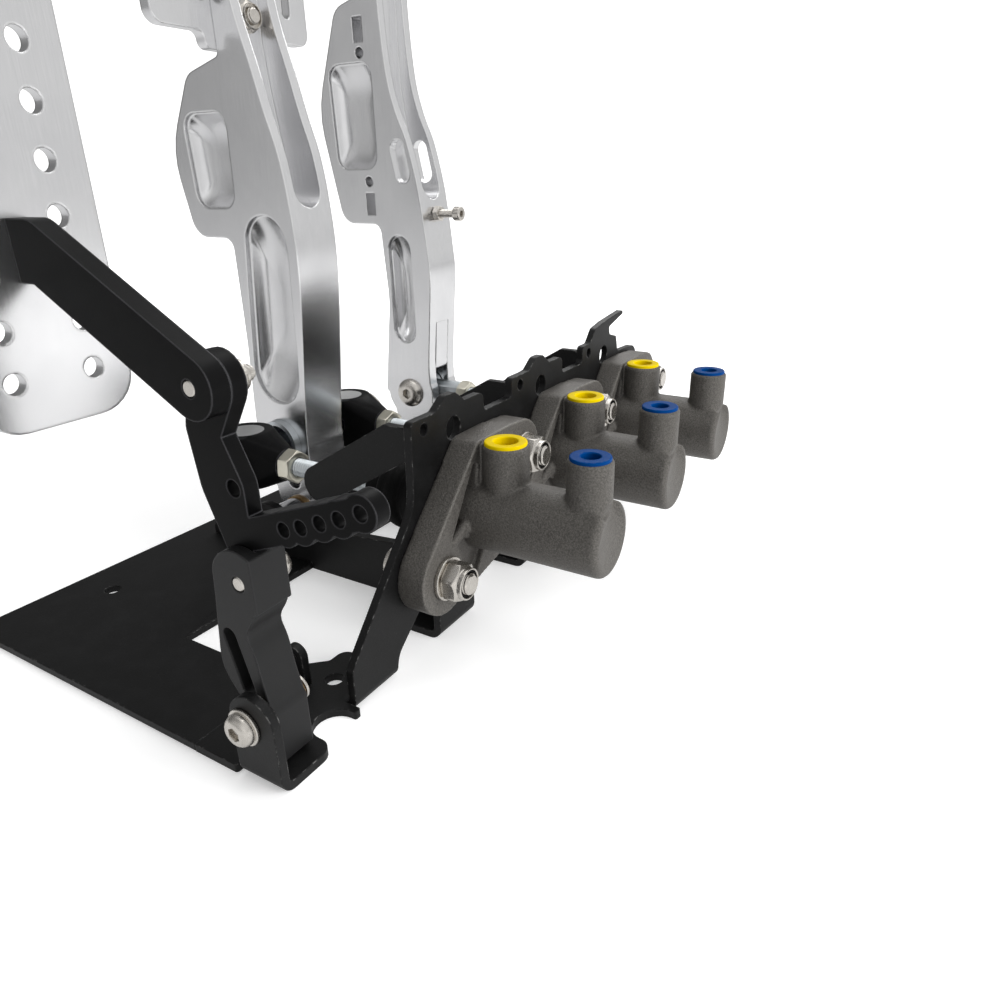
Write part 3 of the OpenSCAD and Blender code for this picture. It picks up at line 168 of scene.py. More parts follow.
def powder_coat():
    """Satin black powder coat: orange peel, fine grain, dust, and pale edges that are partly rubbed paint and
    partly a painted edge highlight.
    """
    f = Finish("powder_coat")
    soft, edge = f.edges(0.7 * MM)
    peel = f.noise(1.5 * MM, 3.0)
    grain = f.noise(0.5 * MM, 2.0)
    dust = f.noise(9 * MM, 5.0, 0.65)
    # Pale edges: worn paint broken up by noise, mixed with a painted edge highlight.
    wear_and_edge_highlight = edge * f.noise(3.2 * MM, 5.0, 0.7).step(0.50, 0.66)
    tone = f.mix(dust.step(0.35, 0.8), (0.0022, 0.0022, 0.0023), (0.0060, 0.0060, 0.0062))
    tone = f.mix(grain.step(0.58, 0.78) * 0.6, tone, (0.032, 0.032, 0.032))
    tone = f.mix(wear_and_edge_highlight * 0.85, tone, (0.20, 0.20, 0.195))
    normal = f.bump(peel * 0.7 + grain * 0.5, 0.07 * MM, soft, 0.55)
    return f.surface(Base_Color=tone, Roughness=0.40 + dust * 0.18, Normal=normal,
                     Specular_IOR_Level=0.28)


def black_anodise():
    """Black anodised machined aluminium: fine cutter lines, edges lightened by a painted highlight."""
    f = Finish("black_anodise")
    soft, edge = f.edges(0.8 * MM)
    lines = f.noise(0.9 * MM, 2.0, 0.5, f.stretched((1.0, 1.0, 0.06)))
    cloud = f.noise(14 * MM, 4.0, 0.6)
    grain = f.noise(0.35 * MM, 2.0)
    tone = f.mix(cloud, (0.0018, 0.0018, 0.0019), (0.0046, 0.0046, 0.0048))
    # Painted edge highlight: the rims are mixed towards pale grey.
    tone = f.mix(edge * (0.4 + cloud * 0.6), tone, (0.085, 0.085, 0.090))
    normal = f.bump(lines * 0.5 + grain * 0.5, 0.03 * MM, soft, 0.35)
    return f.surface(Base_Color=tone, Roughness=0.30 + grain * 0.12 + cloud * 0.08,
                     Normal=normal, Specular_IOR_Level=0.07)


def satin_black():
    """Satin black anodised bar: charcoal sheen, faint cutter lines, a painted highlight along the edges."""
    f = Finish("satin_black")
    soft, edge = f.edges(0.7 * MM)
    lines = f.noise(0.8 * MM, 2.0, 0.5, f.stretched((1.0, 1.0, 0.05)))
    cloud = f.noise(18 * MM, 4.0, 0.6)
    grain = f.noise(0.3 * MM, 2.0)
    tone = f.mix(cloud, (0.0050, 0.0050, 0.0052), (0.0090, 0.0090, 0.0093))
    # Painted edge highlight: a pale line mixed into the rims.
    tone = f.mix(edge * (0.4 + cloud * 0.5), tone, (0.085, 0.085, 0.088))
    normal = f.bump(lines * 0.4 + grain * 0.6, 0.03 * MM, soft, 0.35)
    return f.surface(Base_Color=tone, Roughness=0.42 + grain * 0.12 + cloud * 0.06, Normal=normal,
                     Specular_IOR_Level=0.36)


def cast_skin():
    """Die cast grey metal: granular skin, dark pits, lighter crests that are partly rubbed metal and partly a
    painted edge highlight.
    """
    f = Finish("cast_skin")
    soft, edge = f.edges(1.0 * MM)
    grain = f.noise(0.55 * MM, 4.0, 0.68)
    patch = f.noise(7 * MM, 4.0, 0.6)
    pits = f.cells(1.2 * MM).step(0.10, 0.42)
    tone = f.mix(grain.step(0.32, 0.70), (0.060, 0.056, 0.051), (0.152, 0.143, 0.131))
    tone = f.mix(patch.step(0.35, 0.75) * 0.45, tone, (0.098, 0.092, 0.083))
    # Pale rims: rubbed metal mixed with a painted edge highlight.
    tone = f.mix(edge * (0.45 + patch * 0.5), tone, (0.40, 0.385, 0.355))
    normal = f.bump(grain * 0.8 + pits * 0.4 + patch * 0.5, 0.17 * MM, soft, 0.9)
    return f.surface(Base_Color=tone, Metallic=0.42, Roughness=0.42 + grain * 0.22, Normal=normal)


def plug_plastic(name, deep, bright):
    """Moulded plug plastic: faint flow marks and scuffs."""
    f = Finish(name)
    soft, edge = f.edges(0.3 * MM)
    flow = f.noise(5 * MM, 3.0, 0.6)
    scuff = f.noise(1.1 * MM, 4.0, 0.7).step(0.55, 0.75)
    tone = f.mix(flow, deep, bright)
    normal = f.bump(flow + scuff * 0.2, 0.04 * MM, soft, 0.3)
    return f.surface(Base_Color=tone, Roughness=0.40 + scuff * 0.2 + edge * 0.05, Normal=normal,
                     Specular_IOR_Level=0.03)


def plated_steel(name, dull, bright, rough):
    """Plated or stainless fastener steel: slightly cloudy, fine lines, edges brightened by a painted
    highlight.
    """
    f = Finish(name)
    soft, edge = f.edges(0.3 * MM)
    cloud = f.noise(3.5 * MM, 4.0, 0.6)
    fine = f.noise(0.25 * MM, 2.0)
    tone = f.mix(cloud, dull, bright)
    # Painted edge highlight: the rims are mixed towards near white.
    tone = f.mix(edge * 0.4, tone, (0.86, 0.85, 0.83))
    normal = f.bump(fine + cloud, 0.010 * MM, soft, 0.4)
    return f.surface(Base_Color=tone, Metallic=1.0, Roughness=rough + fine * 0.14, Normal=normal)


def milled_aluminium():
    """Bright milled aluminium: fine streaks along the height, soft haze, polished rims that are smoother and
    also carry a painted edge highlight.
    """
    f = Finish("milled_aluminium")
    soft, edge = f.edges(1.1 * MM)
    streak = f.noise(0.40 * MM, 3.0, 0.6, f.stretched((1.0, 1.0, 0.03)))
    haze = f.noise(24 * MM, 4.0, 0.55)
    fleck = f.noise(1.6 * MM, 3.0, 0.6)
    tone = f.mix(streak, (0.70, 0.70, 0.71), (0.84, 0.84, 0.845))
    tone = f.mix(haze.step(0.35, 0.75) * 0.35, tone, (0.62, 0.62, 0.635))
    # Painted edge highlight in the colour; the lower roughness on the rims is the real polish.
    tone = f.mix(edge * 0.6, tone, (0.93, 0.93, 0.93))
    normal = f.bump(streak * 0.7 + fleck * 0.3, 0.02 * MM, soft, 0.22)
    return f.surface(Base_Color=tone, Metallic=1.0, Normal=normal,
                     Roughness=0.15 + streak * 0.09 + haze * 0.07 - edge * 0.03)


def bush_bronze():
    """Sintered bronze: porous brown metal."""
    f = Finish("bush_bronze")
    pore = f.noise(0.3 * MM, 4.0, 0.7)
    tone = f.mix(pore.step(0.35, 0.65), (0.20, 0.12, 0.05), (0.55, 0.37, 0.17))
    return f.surface(Base_Color=tone, Metallic=0.9, Roughness=0.35 + pore * 0.2,
                     Normal=f.bump(pore, 0.03 * MM))


def boot_rubber():
    """Matt black rubber with a dusty bloom."""
    f = Finish("boot_rubber")
    bloom = f.noise(6 * MM, 4.0, 0.65)
    fine = f.noise(0.4 * MM, 2.0)
    tone = f.mix(bloom.step(0.4, 0.8), (0.0022, 0.0022, 0.0022), (0.0065, 0.0062, 0.0060))
    return f.surface(Base_Color=tone, Roughness=0.50 + bloom * 0.25, Specular_IOR_Level=0.12,
                     Normal=f.bump(fine + bloom, 0.05 * MM, None, 0.5))


def coil_steel():
    """Grey spring wire with drawn lines."""
    f = Finish("coil_steel")
    drawn = f.noise(0.3 * MM, 3.0)
    tone = f.mix(drawn, (0.22, 0.22, 0.22), (0.45, 0.45, 0.44))
    return f.surface(Base_Color=tone, Metallic=1.0, Roughness=0.3 + drawn * 0.15,
                     Normal=f.bump(drawn, 0.02 * MM))


FINISH = {
    "coat_black": powder_coat(),
    "anodised_black": black_anodise(),
    "cast_grey": cast_skin(),
    "plug_yellow": plug_plastic("plug_yellow", (0.58, 0.42, 0.0), (0.68, 0.51, 0.0)),
    "plug_blue": plug_plastic("plug_blue", (0.0, 0.030, 0.14), (0.0, 0.048, 0.20)),
    "zinc": plated_steel("zinc_plate", (0.50, 0.54, 0.565), (0.68, 0.715, 0.735), 0.28),
    "bright_aluminium": milled_aluminium(),
    "bronze": bush_bronze(),
    "rubber_black": boot_rubber(),
    "spring_steel": coil_steel(),
}
SATIN_BLACK = satin_black()
DULL_ZINC = plated_steel("dull_zinc", (0.62, 0.63, 0.63), (0.80, 0.80, 0.80), 0.42)
STAINLESS = plated_steel("warm_stainless", (0.52, 0.49, 0.45), (0.74, 0.71, 0.66), 0.20)
YELLOW_ZINC = plated_steel("yellow_zinc", (0.66, 0.63, 0.52), (0.84, 0.81, 0.70), 0.24)

SLOT_OF = {}
BODY_OF = {}
for part in frame["record"]["subparts"]:
    SLOT_OF[part["node"]] = part["material_slot"]
    slots = NODE[part["node"]].data.materials
    slots.clear()
    slots.append(FINISH[part["material_slot"]])
for node in ("trunnion_1", "trunnion_2"):
    NODE[node].data.materials[0] = DULL_ZINC
for body, members in frame["record"]["behaviour"]["bodies"].items():
    for member in members:
        BODY_OF[member] = body


def shaded(mesh, sharp):
    """Smooth shading that breaks at edges steeper than an angle in degrees."""
    mesh.polygons.foreach_set("use_smooth", np.ones(len(mesh.polygons), dtype=bool))
    mesh.set_sharp_from_angle(angle=np.radians(sharp))


def settle(name, mesh, finish, node, stands_for=True, sharp=34.0):
    """Smooths a mesh up to its sharp edges and hangs it on the body of the node it belongs to."""
    if sharp:
        shaded(mesh, sharp)
    mesh.materials.clear()
    mesh.materials.append(finish)
    piece = bpy.data.objects.new(name, mesh)
    bpy.context.scene.collection.objects.link(piece)
    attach(piece, BODY_OF[node])
    if stands_for:
        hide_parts(node)
    return piece


def skin(name, shells):
    """Mesh from grids of points in millimetres: each row is a closed ring, rows join into walls."""
    points, faces, start = [], [], 0
    for shell in shells:
        rows, sides = shell.shape[:2]
        index = start + np.arange(rows * sides).reshape(rows, sides)
        beside = np.roll(index, -1, axis=1)
        walls = np.stack([index[:-1], beside[:-1], beside[1:], index[1:]], axis=-1)
        points.append(shell.reshape(-1, 3))
        faces.append(walls.reshape(-1, 4))
        start += rows * sides
    mesh = bpy.data.meshes.new(name)
    mesh.from_pydata((np.concatenate(points) * MM).tolist(), [], np.concatenate(faces).tolist())
    work = bmesh.new()
    work.from_mesh(mesh)
    bmesh.ops.remove_doubles(work, verts=work.verts, dist=2e-7)
    bmesh.ops.dissolve_degenerate(work, edges=work.edges, dist=1e-8)
    bmesh.ops.recalc_face_normals(work, faces=work.faces)
    work.to_mesh(mesh)
    work.free()
    return mesh


def laid(local, axis, at):
    """Points (u, v, along) turned so that along follows the axis, then moved to a place."""
    u, v, w = local[..., 0], local[..., 1], local[..., 2]
    turned_to = {"x": (w, u, v), "y": (v, w, u), "z": (u, v, w), "-x": (-w, v, u), "-y": (u, -w, v)}
    return np.stack(turned_to[axis], axis=-1) + np.asarray(at, float)


def hexagon(angles, flats):
    """Reach of a hexagon along each angle: half the flats over the cosine to the nearest flat."""
    return flats / 2 / np.cos((angles + np.pi / 6) % (np.pi / 3) - np.pi / 6)


def turned(stations, sides=48):
    """Rings of a turned shape: at angle t a station (r, w) gives (r cos t, r sin t, w)."""
    stations = np.asarray(stations, float)
    t = np.linspace(0, 2 * np.pi, sides, endpoint=False)
    r = stations[:, :1] * np.ones(sides)
    w = stations[:, 1:2] * np.ones(sides)
    return np.stack([r * np.cos(t), r * np.sin(t), w], axis=-1)


def hexed(stations, flats, turn=0.0, sides=96):
    """Rings cut by a hexagon: the reach is the smaller of the station's r and the hexagon's."""
    stations = np.asarray(stations, float)
    t = np.linspace(0, 2 * np.pi, sides, endpoint=False)
    r = np.minimum(stations[:, :1], hexagon(t + turn, flats))
    w = stations[:, 1:2] * np.ones(sides)
    return np.stack([r * np.cos(t), r * np.sin(t), w], axis=-1)


def arc(r, w, size, start, end, steps=7):
    """Stations on a quarter round of a profile, angles in degrees from outward to along."""
    a = np.radians(np.linspace(start, end, steps))
    return np.stack([r + size * np.cos(a), w + size * np.sin(a)], axis=-1)


def nut(flats, height, bore, turn=0.0, collar=None):
    """Nut: hexagon cut at both ends by 30 degree cones; a lock nut adds a rounded collar."""
    inner, corner = flats / 2 * 0.95, flats / 2 / np.cos(np.pi / 6)
    rise = (corner - inner) * np.tan(np.radians(30))
    lower = np.stack([np.linspace(inner, corner, 7), np.linspace(0, rise, 7)], axis=-1)
    top = height if collar is None else height - collar[1]
    upper = np.stack([lower[::-1, 0], top - lower[::-1, 1]], axis=-1)
    rows = [[(bore, 0.5), (bore + 0.5, 0)], lower, upper]
    if collar is None:
        rows += [[(bore + 0.5, top), (bore, top - 0.5), (bore, 0.5)]]
    else:
        r = collar[0]
        lip = bore + 1.0
        soft = (r - lip) / 2
        rows += [[(r + 0.25, top + 0.05), (r, top + 0.35)], arc(r - soft, height - soft, soft, 0, 180, 13),
                 [(lip, height - 1.6), (bore, height - 1.6), (bore, 0.5)]]
    return hexed(np.concatenate(rows), flats, turn)


def lock_ring(height, bore, reach):
    """Plastic ring in the mouth of a lock nut: a low rounded band round the thread."""
    rows = [[(bore - 0.1, height - 1.5), (reach, height - 1.5), (reach, height - 0.9)],
            arc((bore + reach) / 2, height - 0.9, (reach - bore) / 2, 15, 165),
            [(bore - 0.1, height - 0.9), (bore - 0.1, height - 1.5)]]
    return turned(np.concatenate(rows), 40)


def disc_ring(inner, outer, thick, soft=0.35):
    """Washer: flat ring with rounded outer and inner edges."""
    rows = [arc(outer - soft, soft, soft, -90, 0), arc(outer - soft, thick - soft, soft, 0, 90),
            [(inner + 0.2, thick), (inner, thick - 0.2), (inner, 0.2), (inner + 0.2, 0), (outer - soft, 0)]]
    return turned(np.concatenate(rows))


def threaded(radius, start, end, pitch, depth=0.42, sides=28, per_turn=8):
    """Screw thread: the reach falls by depth times a rounded triangle of along/pitch - angle/turn."""
    t = np.linspace(0, 2 * np.pi, sides, endpoint=False)
    w = np.arange(start, end + 1e-6, pitch / per_turn)
    phase = (w[:, None] / pitch - t / (2 * np.pi)) % 1.0
    groove = np.abs(2 * phase - 1)
    groove = np.clip((groove - 0.12) / 0.76, 0, 1)
    taper = np.clip((end - w) / 0.9, 0, 1)[:, None] * np.clip((w - start) / 0.9, 0, 1)[:, None]
    r = radius - depth * groove - 0.5 * (1 - taper)
    rings = np.stack([r * np.cos(t), r * np.sin(t), w[:, None] * np.ones(sides)], axis=-1)
    first = np.zeros((1, sides, 3)) + (0, 0, w[0])
    last = np.zeros((1, sides, 3)) + (0, 0, w[-1] - 0.15)
    return np.concatenate([first, rings, last])


def shank(radius, start, end, soft=0.3):
    """Plain round bar with a small chamfer at both ends."""
    return turned([(0, start), (radius - soft, start), (radius, start + soft), (radius, end - soft),
                   (radius - soft, end), (0, end)], 40)


def button(radius, base, high, key, sides=96):
    """Button head: a low dome down to a rim, then a hexagon socket with a cone floor."""
    t = np.linspace(0, 2 * np.pi, sides, endpoint=False)
    lift = np.linspace(0, 1, 12)
    rim = key / 2 / np.cos(np.pi / 6) + 0.35
    dome_r = rim + (radius - rim) * np.cos(lift * np.pi / 2) ** 0.9
    dome_w = base + 0.35 + (high - base - 0.35) * np.sin(lift * np.pi / 2)
    rings = [np.zeros(sides), np.full(sides, radius - 0.2), np.full(sides, radius)]
    along = [base, base, base + 0.2]
    rings += [np.full(sides, r) for r in dome_r]
    along += list(dome_w)
    hexagon_reach = hexagon(t, key)
    for share, depth in ((1.06, 0.0), (1.0, 0.25), (1.0, 0.62 * (high - base)), (0.0, 0.78 * (high - base))):
        rings.append(np.minimum(hexagon_reach * share, rim))
        along.append(high - depth)
    r = np.stack(rings)
    w = np.asarray(along)[:, None] * np.ones(sides)
    return np.stack([r * np.cos(t), r * np.sin(t), w], axis=-1)


def cap(radius, base, high, key):
    """Socket cap head: straight side, rounded rim, hexagon socket."""
    t = np.linspace(0, 2 * np.pi, 72, endpoint=False)
    rows = np.concatenate([[(0, base), (radius - 0.2, base), (radius, base + 0.2)],
                           arc(radius - 0.6, high - 0.6, 0.6, 0, 90)])
    outside = turned(rows, 72)
    reach = hexagon(t, key)
    inside = [np.stack([reach * k * np.cos(t), reach * k * np.sin(t), np.full(72, high - d)], axis=-1)
              for k, d in ((1.08, 0.0), (1.0, 0.2), (1.0, 0.55 * (high - base)), (0.0, 0.7 * (high - base)))]
    return np.concatenate([outside, np.stack(inside)])


# Places in millimetres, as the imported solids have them
AXES = (33.0, -33.0, -99.0)
BRAKE_X, CLUTCH_X = 0.0, -99.0
BAR_Y, AXIS_Z = -34.92, 50.0
PEDAL_PIVOT_Y, PEDAL_PIVOT_Z = -30.0, 15.0
THROTTLE_PIVOT = (0, 74.8, 21.2)
FLANGE_FACE, SHEET_BACK = 91.0, 77.0
FEED_Y, OUTLET_Y, BOSS_TOP = 99.5, 132.0, 77.0
BARREL_R, FEED_BOSS_R, OUTLET_BOSS_R = 14.0, 8.5, 8.0
BRAKE_FACE, CLUTCH_FACE = 12.0, -87.0
BOLT_REACH, FLANGE_TILT = 31.0, np.radians(28.4)
BOLT = BOLT_REACH * np.array([np.cos(FLANGE_TILT), -np.sin(FLANGE_TILT)])
STATIONS = [(a + side * BOLT[0], 0.0, AXIS_Z + side * BOLT[1]) for a in AXES for side in (1, -1)]


def flange_hardware():
    """Six flange bolts with thick washers, lock nuts and their plastic rings."""
    nuts, rings, washers, bolts = [], [], [], []
    flats, high, bore, thick, pitch = 13.0, 8.0, 4.05, 1.6, 1.25
    for k, place in enumerate(STATIONS):
        turn = 0.35 + 0.8 * k
        seat = np.add(place, (0, FLANGE_FACE + thick, 0))
        back = np.add(place, (0, SHEET_BACK - thick, 0))
        nuts.append(laid(nut(flats, high, bore, turn, (5.8, 2.1)), "y", seat))
        rings.append(laid(lock_ring(high, bore, 5.04), "y", seat))
        washers.append(laid(disc_ring(4.25, 8.0, thick), "y", np.add(place, (0, FLANGE_FACE, 0))))
        bolts.append(laid(threaded(4.0, 88.0, 101.5, pitch), "y", place))
        bolts.append(laid(shank(3.98, 76.0, 88.6), "y", place))
        bolts.append(laid(cap(6.5, 0.0, 8.0, 6.0), "-y", back))
        bolts.append(laid(disc_ring(4.0, 8.0, thick), "y", back))
    settle("lock_nuts", skin("lock_nuts", nuts), STAINLESS, "flange_nuts")
    settle("lock_rings", skin("lock_rings", rings), FINISH["rubber_black"], "flange_nuts", False)
    settle("thick_washers", skin("thick_washers", washers), STAINLESS, "flange_washers")
    settle("through_bolts", skin("through_bolts", bolts), STAINLESS, "flange_bolts")


def port_plugs():
    """Moulded port plugs: rounded flange, funnel mouth and a hollow stem with a floor."""
    for node, y, rim, stem, hollow in (("feed_plugs", FEED_Y, 7.7, 5.4, 4.3),
                                       ("outlet_plugs", OUTLET_Y, 7.15, 4.9, 3.4)):
        rows = [[(0, -8.0), (stem - 0.8, -8.0), (stem, -7.0), (stem, 0.02), (rim - 0.2, 0.02)],
                arc(rim - 0.35, 0.4, 0.35, -60, 0), arc(rim - 0.5, 1.4, 0.5, 0, 90),
                arc(hollow + 0.55, 1.35, 0.55, 90, 180), [(hollow, -5.0), (hollow - 0.6, -6.0), (0, -6.1)]]
        shells = [laid(turned(np.concatenate(rows), 64), "z", (a, y, BOSS_TOP)) for a in AXES]
        settle(node[:-1] + "_caps", skin(node, shells), FINISH[SLOT_OF[node]], node)


def boots():
    """Rubber boots: the reach swells from the tail, then carries a shallow wave and one pinched groove."""
    s = np.linspace(0, 1, 121)
    swell = 1 - (1 - np.clip(s / 0.22, 0, 1)) ** 2.2
    fold = 0.55 * np.cos(2 * np.pi * 2.5 * s) - 0.8 * np.exp(-((s - 0.55) / 0.05) ** 2)
    outside = np.stack([8.6 + 4.7 * swell + fold * swell, 45.6 + 23.6 * s], axis=-1)
    profile = np.concatenate([arc(7.4, 39.6, 0.6, -90, 0), [(8.0, 45.0)], outside,
                              arc(13.25, 70.5, 1.0, -60, 0), arc(13.25, 76.0, 1.0, 0, 90),
                              [(12.2, 77.0), (11.6, 70.0), (8.6, 60.0), (8.2, 48.0), (4.1, 45.0), (4.1, 39.4),
                               (7.4, 39.0)]])
    for k, a in enumerate(AXES):
        node = "boot_%d" % (k + 1)
        settle("bellows_%d" % (k + 1), skin(node, [laid(turned(profile, 64), "y", (a, 0, AXIS_Z))]),
               FINISH["rubber_black"], node)


def push_rods():
    """Threaded push rods with their jam nuts."""
    for k, (a, start, seat) in enumerate(zip(AXES, (-25.92, -25.92, -23.42), (-10.92, -10.92, -7.92))):
        n = k + 1
        rod = [laid(threaded(4.0, start, 41.0, 1.25), "y", (a, 0, AXIS_Z)),
               laid(shank(3.9, 40.0, 81.9), "y", (a, 0, AXIS_Z)),
               laid(disc_ring(3.8, 8.45, 1.9), "y", (a, 74.35, AXIS_Z))]
        settle("threaded_rod_%d" % n, skin("rod_%d" % n, rod), FINISH["zinc"], "push_rod_%d" % n)
        lock = laid(nut(13.0, 6.5, 4.05, np.pi / 2 + 0.12), "y", (a, seat, AXIS_Z))
        settle("rod_nut_%d" % n, skin("rod_nut_%d" % n, [lock]), YELLOW_ZINC, "jam_nut_%d" % n)


def throttle_fasteners():
    """Button bolt of the throttle pivot, flush fork dowel and pad bar pin."""
    at = THROTTLE_PIVOT
    shells = [laid(button(5.25, 140.2, 143.5, 4.0), "x", at),
              laid(disc_ring(2.9, 6.0, 1.2), "x", np.add(at, (139, 0, 0))),
              laid(disc_ring(2.9, 5.0, 1.6), "x", np.add(at, (134.4, 0, 0))),
              laid(shank(3.0, 117.5, 140.4), "x", at),
              laid(disc_ring(2.8, 4.2, 1.0, 0.2), "x", np.add(at, (117.6, 0, 0)))]
    settle("pivot_button", skin("pivot_button", shells), STAINLESS, "throttle_bolt")
    low, high = (0, 74.4, 64.3), (0, 71.8, 118.4)
    shells = [laid(shank(2.3, 119.0, 133.0, 0.5), "x", low),
              laid(button(4.7, 0.0, 4.0, 3.0), "-x", np.add(low, (120, 0, 0))),
              laid(shank(2.3, 123.0, 135.0, 0.5), "x", high),
              laid(threaded(2.3, 115.6, 124.0, 0.8, 0.3), "x", high),
              laid(nut(9.4, 5.0, 2.35, 0.3, (4.2, 1.4)), "-x", np.add(high, (124, 0, 0)))]
    settle("fork_screws", skin("fork_screws", shells), STAINLESS, "throttle_dowels")


def clutch_fasteners():
    """Clutch pin with a domed socket head and lock nut; slim stop screw with cap head."""
    at = (CLUTCH_X, BAR_Y, AXIS_Z)
    shells = [laid(button(8.0, 12.0, 16.0, 5.0), "x", at),
              laid(shank(4.72, -19.0, 12.4), "x", at),
              laid(nut(15.0, 6.0, 4.8, 0.3), "-x", np.add(at, (-12.0, 0, 0)))]
    settle("clutch_button", skin("clutch_button", shells), STAINLESS, "clutch_pin")
    stop_z = 146.0
    at = (CLUTCH_X, 0.0, stop_z)
    shells = [laid(threaded(2.0, -26.9, -6.6, 0.7, 0.24, 24), "y", at),
              laid(cap(3.5, -7.5, -3.5, 3.0), "y", at),
              laid(nut(7.0, 3.2, 2.02, 0.2), "y", np.add(at, (0, -19.6, 0)))]
    settle("stop_screw", skin("stop_screw", shells), STAINLESS, "clutch_stop")


def fork_bridge():
    """Bridge over the clutch fork: an outline in y and z with a round lower edge, carried across x."""
    low, high, front, half = 63.0, 90.4, -20.7, 5.57
    back, top_front = -27.9, -19.05
    edge = arc(front - 3.0, low + 3.0, 2.8, -90, 0, 9)
    outline = np.concatenate([[(back, low + 0.2)], edge,
                              [(top_front, high - 1.0), (top_front, high), (back, high)]])
    middle = outline.mean(axis=0) * np.ones_like(outline)
    rows = [(half, 0.0), (half, 1.0), (-half, 1.0), (-half, 0.0)]
    rings = [np.column_stack([np.full(len(outline), CLUTCH_X + x), middle + (outline - middle) * share])
             for x, share in rows]
    shell = np.stack(rings)
    settle("fork_bridge", skin("fork_bridge", [shell]), FINISH["bright_aluminium"], "clutch_arm", False)


def dish(name, node, face, circles, rim, sink, floor):
    """Dished pocket floor: the hull of the circles shrinks to its middle as the floor sinks by 1 - s**4."""
    t = np.linspace(0, 2 * np.pi, 96, endpoint=False)
    way = np.stack([np.cos(t), np.sin(t)], axis=-1)
    circles = np.asarray(circles, float)
    first = np.argmax(circles[:, :2] @ way.T + circles[:, 2:3], axis=0)
    outline = circles[first, :2] + (circles[first, 2:3] - 0.04) * way
    middle = outline.mean(axis=0)
    share = np.concatenate([[0.0, 1.0], np.linspace(1.0, 0.0, 22)])
    depth = np.concatenate([[floor, floor], rim + (sink - rim) * (1 - np.linspace(1.0, 0.0, 22) ** 4)])
    rings = middle + (outline - middle)[None] * share[:, None, None]
    across = np.broadcast_to((face - depth)[:, None, None], rings.shape[:2] + (1,))
    shell = np.concatenate([across, rings], axis=-1)
    settle(name, skin(name, [shell]), FINISH["bright_aluminium"], node, False, 50.0)


def pocket_floors():
    """Ball-nosed pocket floors of both pedal arms, seen from the near side."""
    dish("clutch_head_floor", "clutch_arm", CLUTCH_FACE,
         [(-67, 175, 7), (-54, 175, 7), (-54, 210, 7), (-68, 210, 7)], 1.2, 8.0, 14.9)
    dish("clutch_web_floor", "clutch_arm", CLUTCH_FACE, [(-36, 86, 7.5), (-36.5, 128, 7.5)], 2.0, 9.0, 10.9)
    dish("brake_head_floor", "brake_arm", BRAKE_FACE,
         [(-61, 160, 7), (-51, 160, 7), (-50, 183, 7), (-62, 183, 7)], 1.2, 8.0, 12.9)
    dish("brake_web_floor", "brake_arm", BRAKE_FACE, [(-33.5, 83, 14), (-29.5, 138, 12.5)], 2.0, 11.0, 12.9)


def pedal_fasteners():
    """Pivot bolts and nuts, balance bar nuts, pad screws with lock nuts."""
    heads, nuts = [], []
    for m in (BRAKE_X, CLUTCH_X):
        at = np.array((m, PEDAL_PIVOT_Y, PEDAL_PIVOT_Z))
        heads.append(laid(nut(16.0, 6.0, 0.01, 0.5), "x", at + (32, 0, 0)))
        heads.append(laid(shank(5.0, -42.0, 32.5), "x", at))
        nuts.append(laid(nut(16.0, 9.0, 5.05, 0.2, (7.2, 2.2)), "-x", at - (32, 0, 0)))
    settle("pivot_heads", skin("pivot_heads", heads), STAINLESS, "pivot_bolts")
    settle("pivot_locks", skin("pivot_locks", nuts), STAINLESS, "pivot_nuts")
    ends = [laid(nut(15.0, 6.0, 4.8, 0.4), way, (side * 46.0, BAR_Y, AXIS_Z))
            for way, side in (("x", 1), ("-x", -1))]
    settle("bar_nuts", skin("bar_nuts", ends), STAINLESS, "bias_nuts")
    bar = [laid(threaded(4.75, 32.0, 53.0, 1.25), way, (0, BAR_Y, AXIS_Z)) for way in ("x", "-x")]
    bar.append(laid(shank(4.72, -33.0, 33.0), "x", (0, BAR_Y, AXIS_Z)))
    settle("threaded_bar", skin("threaded_bar", bar), FINISH["zinc"], "bias_bar")
    for node, x, low, back, floor in (("brake_pad_bolts", BRAKE_X, 211.0, -47.0, -37.0),
                                      ("clutch_pad_bolts", CLUTCH_X, 248.0, -53.0, -44.0)):
        shells = []
        for rise in (12.0, 34.0):
            at = (x, 0, low + rise)
            shells.append(laid(button(5.0, 0.0, 4.0, 4.0), "-y", np.add(at, (0, back, 0))))
            shells.append(laid(threaded(3.0, back - 0.5, floor + 6.0, 1.0, 0.35), "y", at))
            shells.append(laid(nut(10.0, 5.0, 3.05, 0.4, (4.4, 1.4)), "y", np.add(at, (0, floor, 0))))
        settle(node[:-6] + "_screws", skin(node, shells), STAINLESS, node)


def merged(node):
    """A copy of a solid's loose triangles with shared corners joined."""
    work = bmesh.new()
    work.from_mesh(NODE[node].data)
    bmesh.ops.remove_doubles(work, verts=work.verts, dist=3e-6)
    mesh = bpy.data.meshes.new(node + "_copy")
    work.to_mesh(mesh)
    work.free()
    for layer in list(mesh.attributes):
        if layer.name == "custom_normal":
            mesh.attributes.remove(layer)
    return mesh


def remade(mesh, modifiers):
    """A mesh after a list of modifiers (kind, settings) has been worked into it."""
    stand = bpy.data.objects.new("stand", mesh)
    bpy.context.scene.collection.objects.link(stand)
    for kind, settings in modifiers:
        step = stand.modifiers.new(kind.lower(), kind)
        for key, value in settings.items():
            setattr(step, key, value)
    graph = bpy.context.evaluated_depsgraph_get()
    made = bpy.data.meshes.new_from_object(stand.evaluated_get(graph))
    bpy.data.objects.remove(stand)
    return made


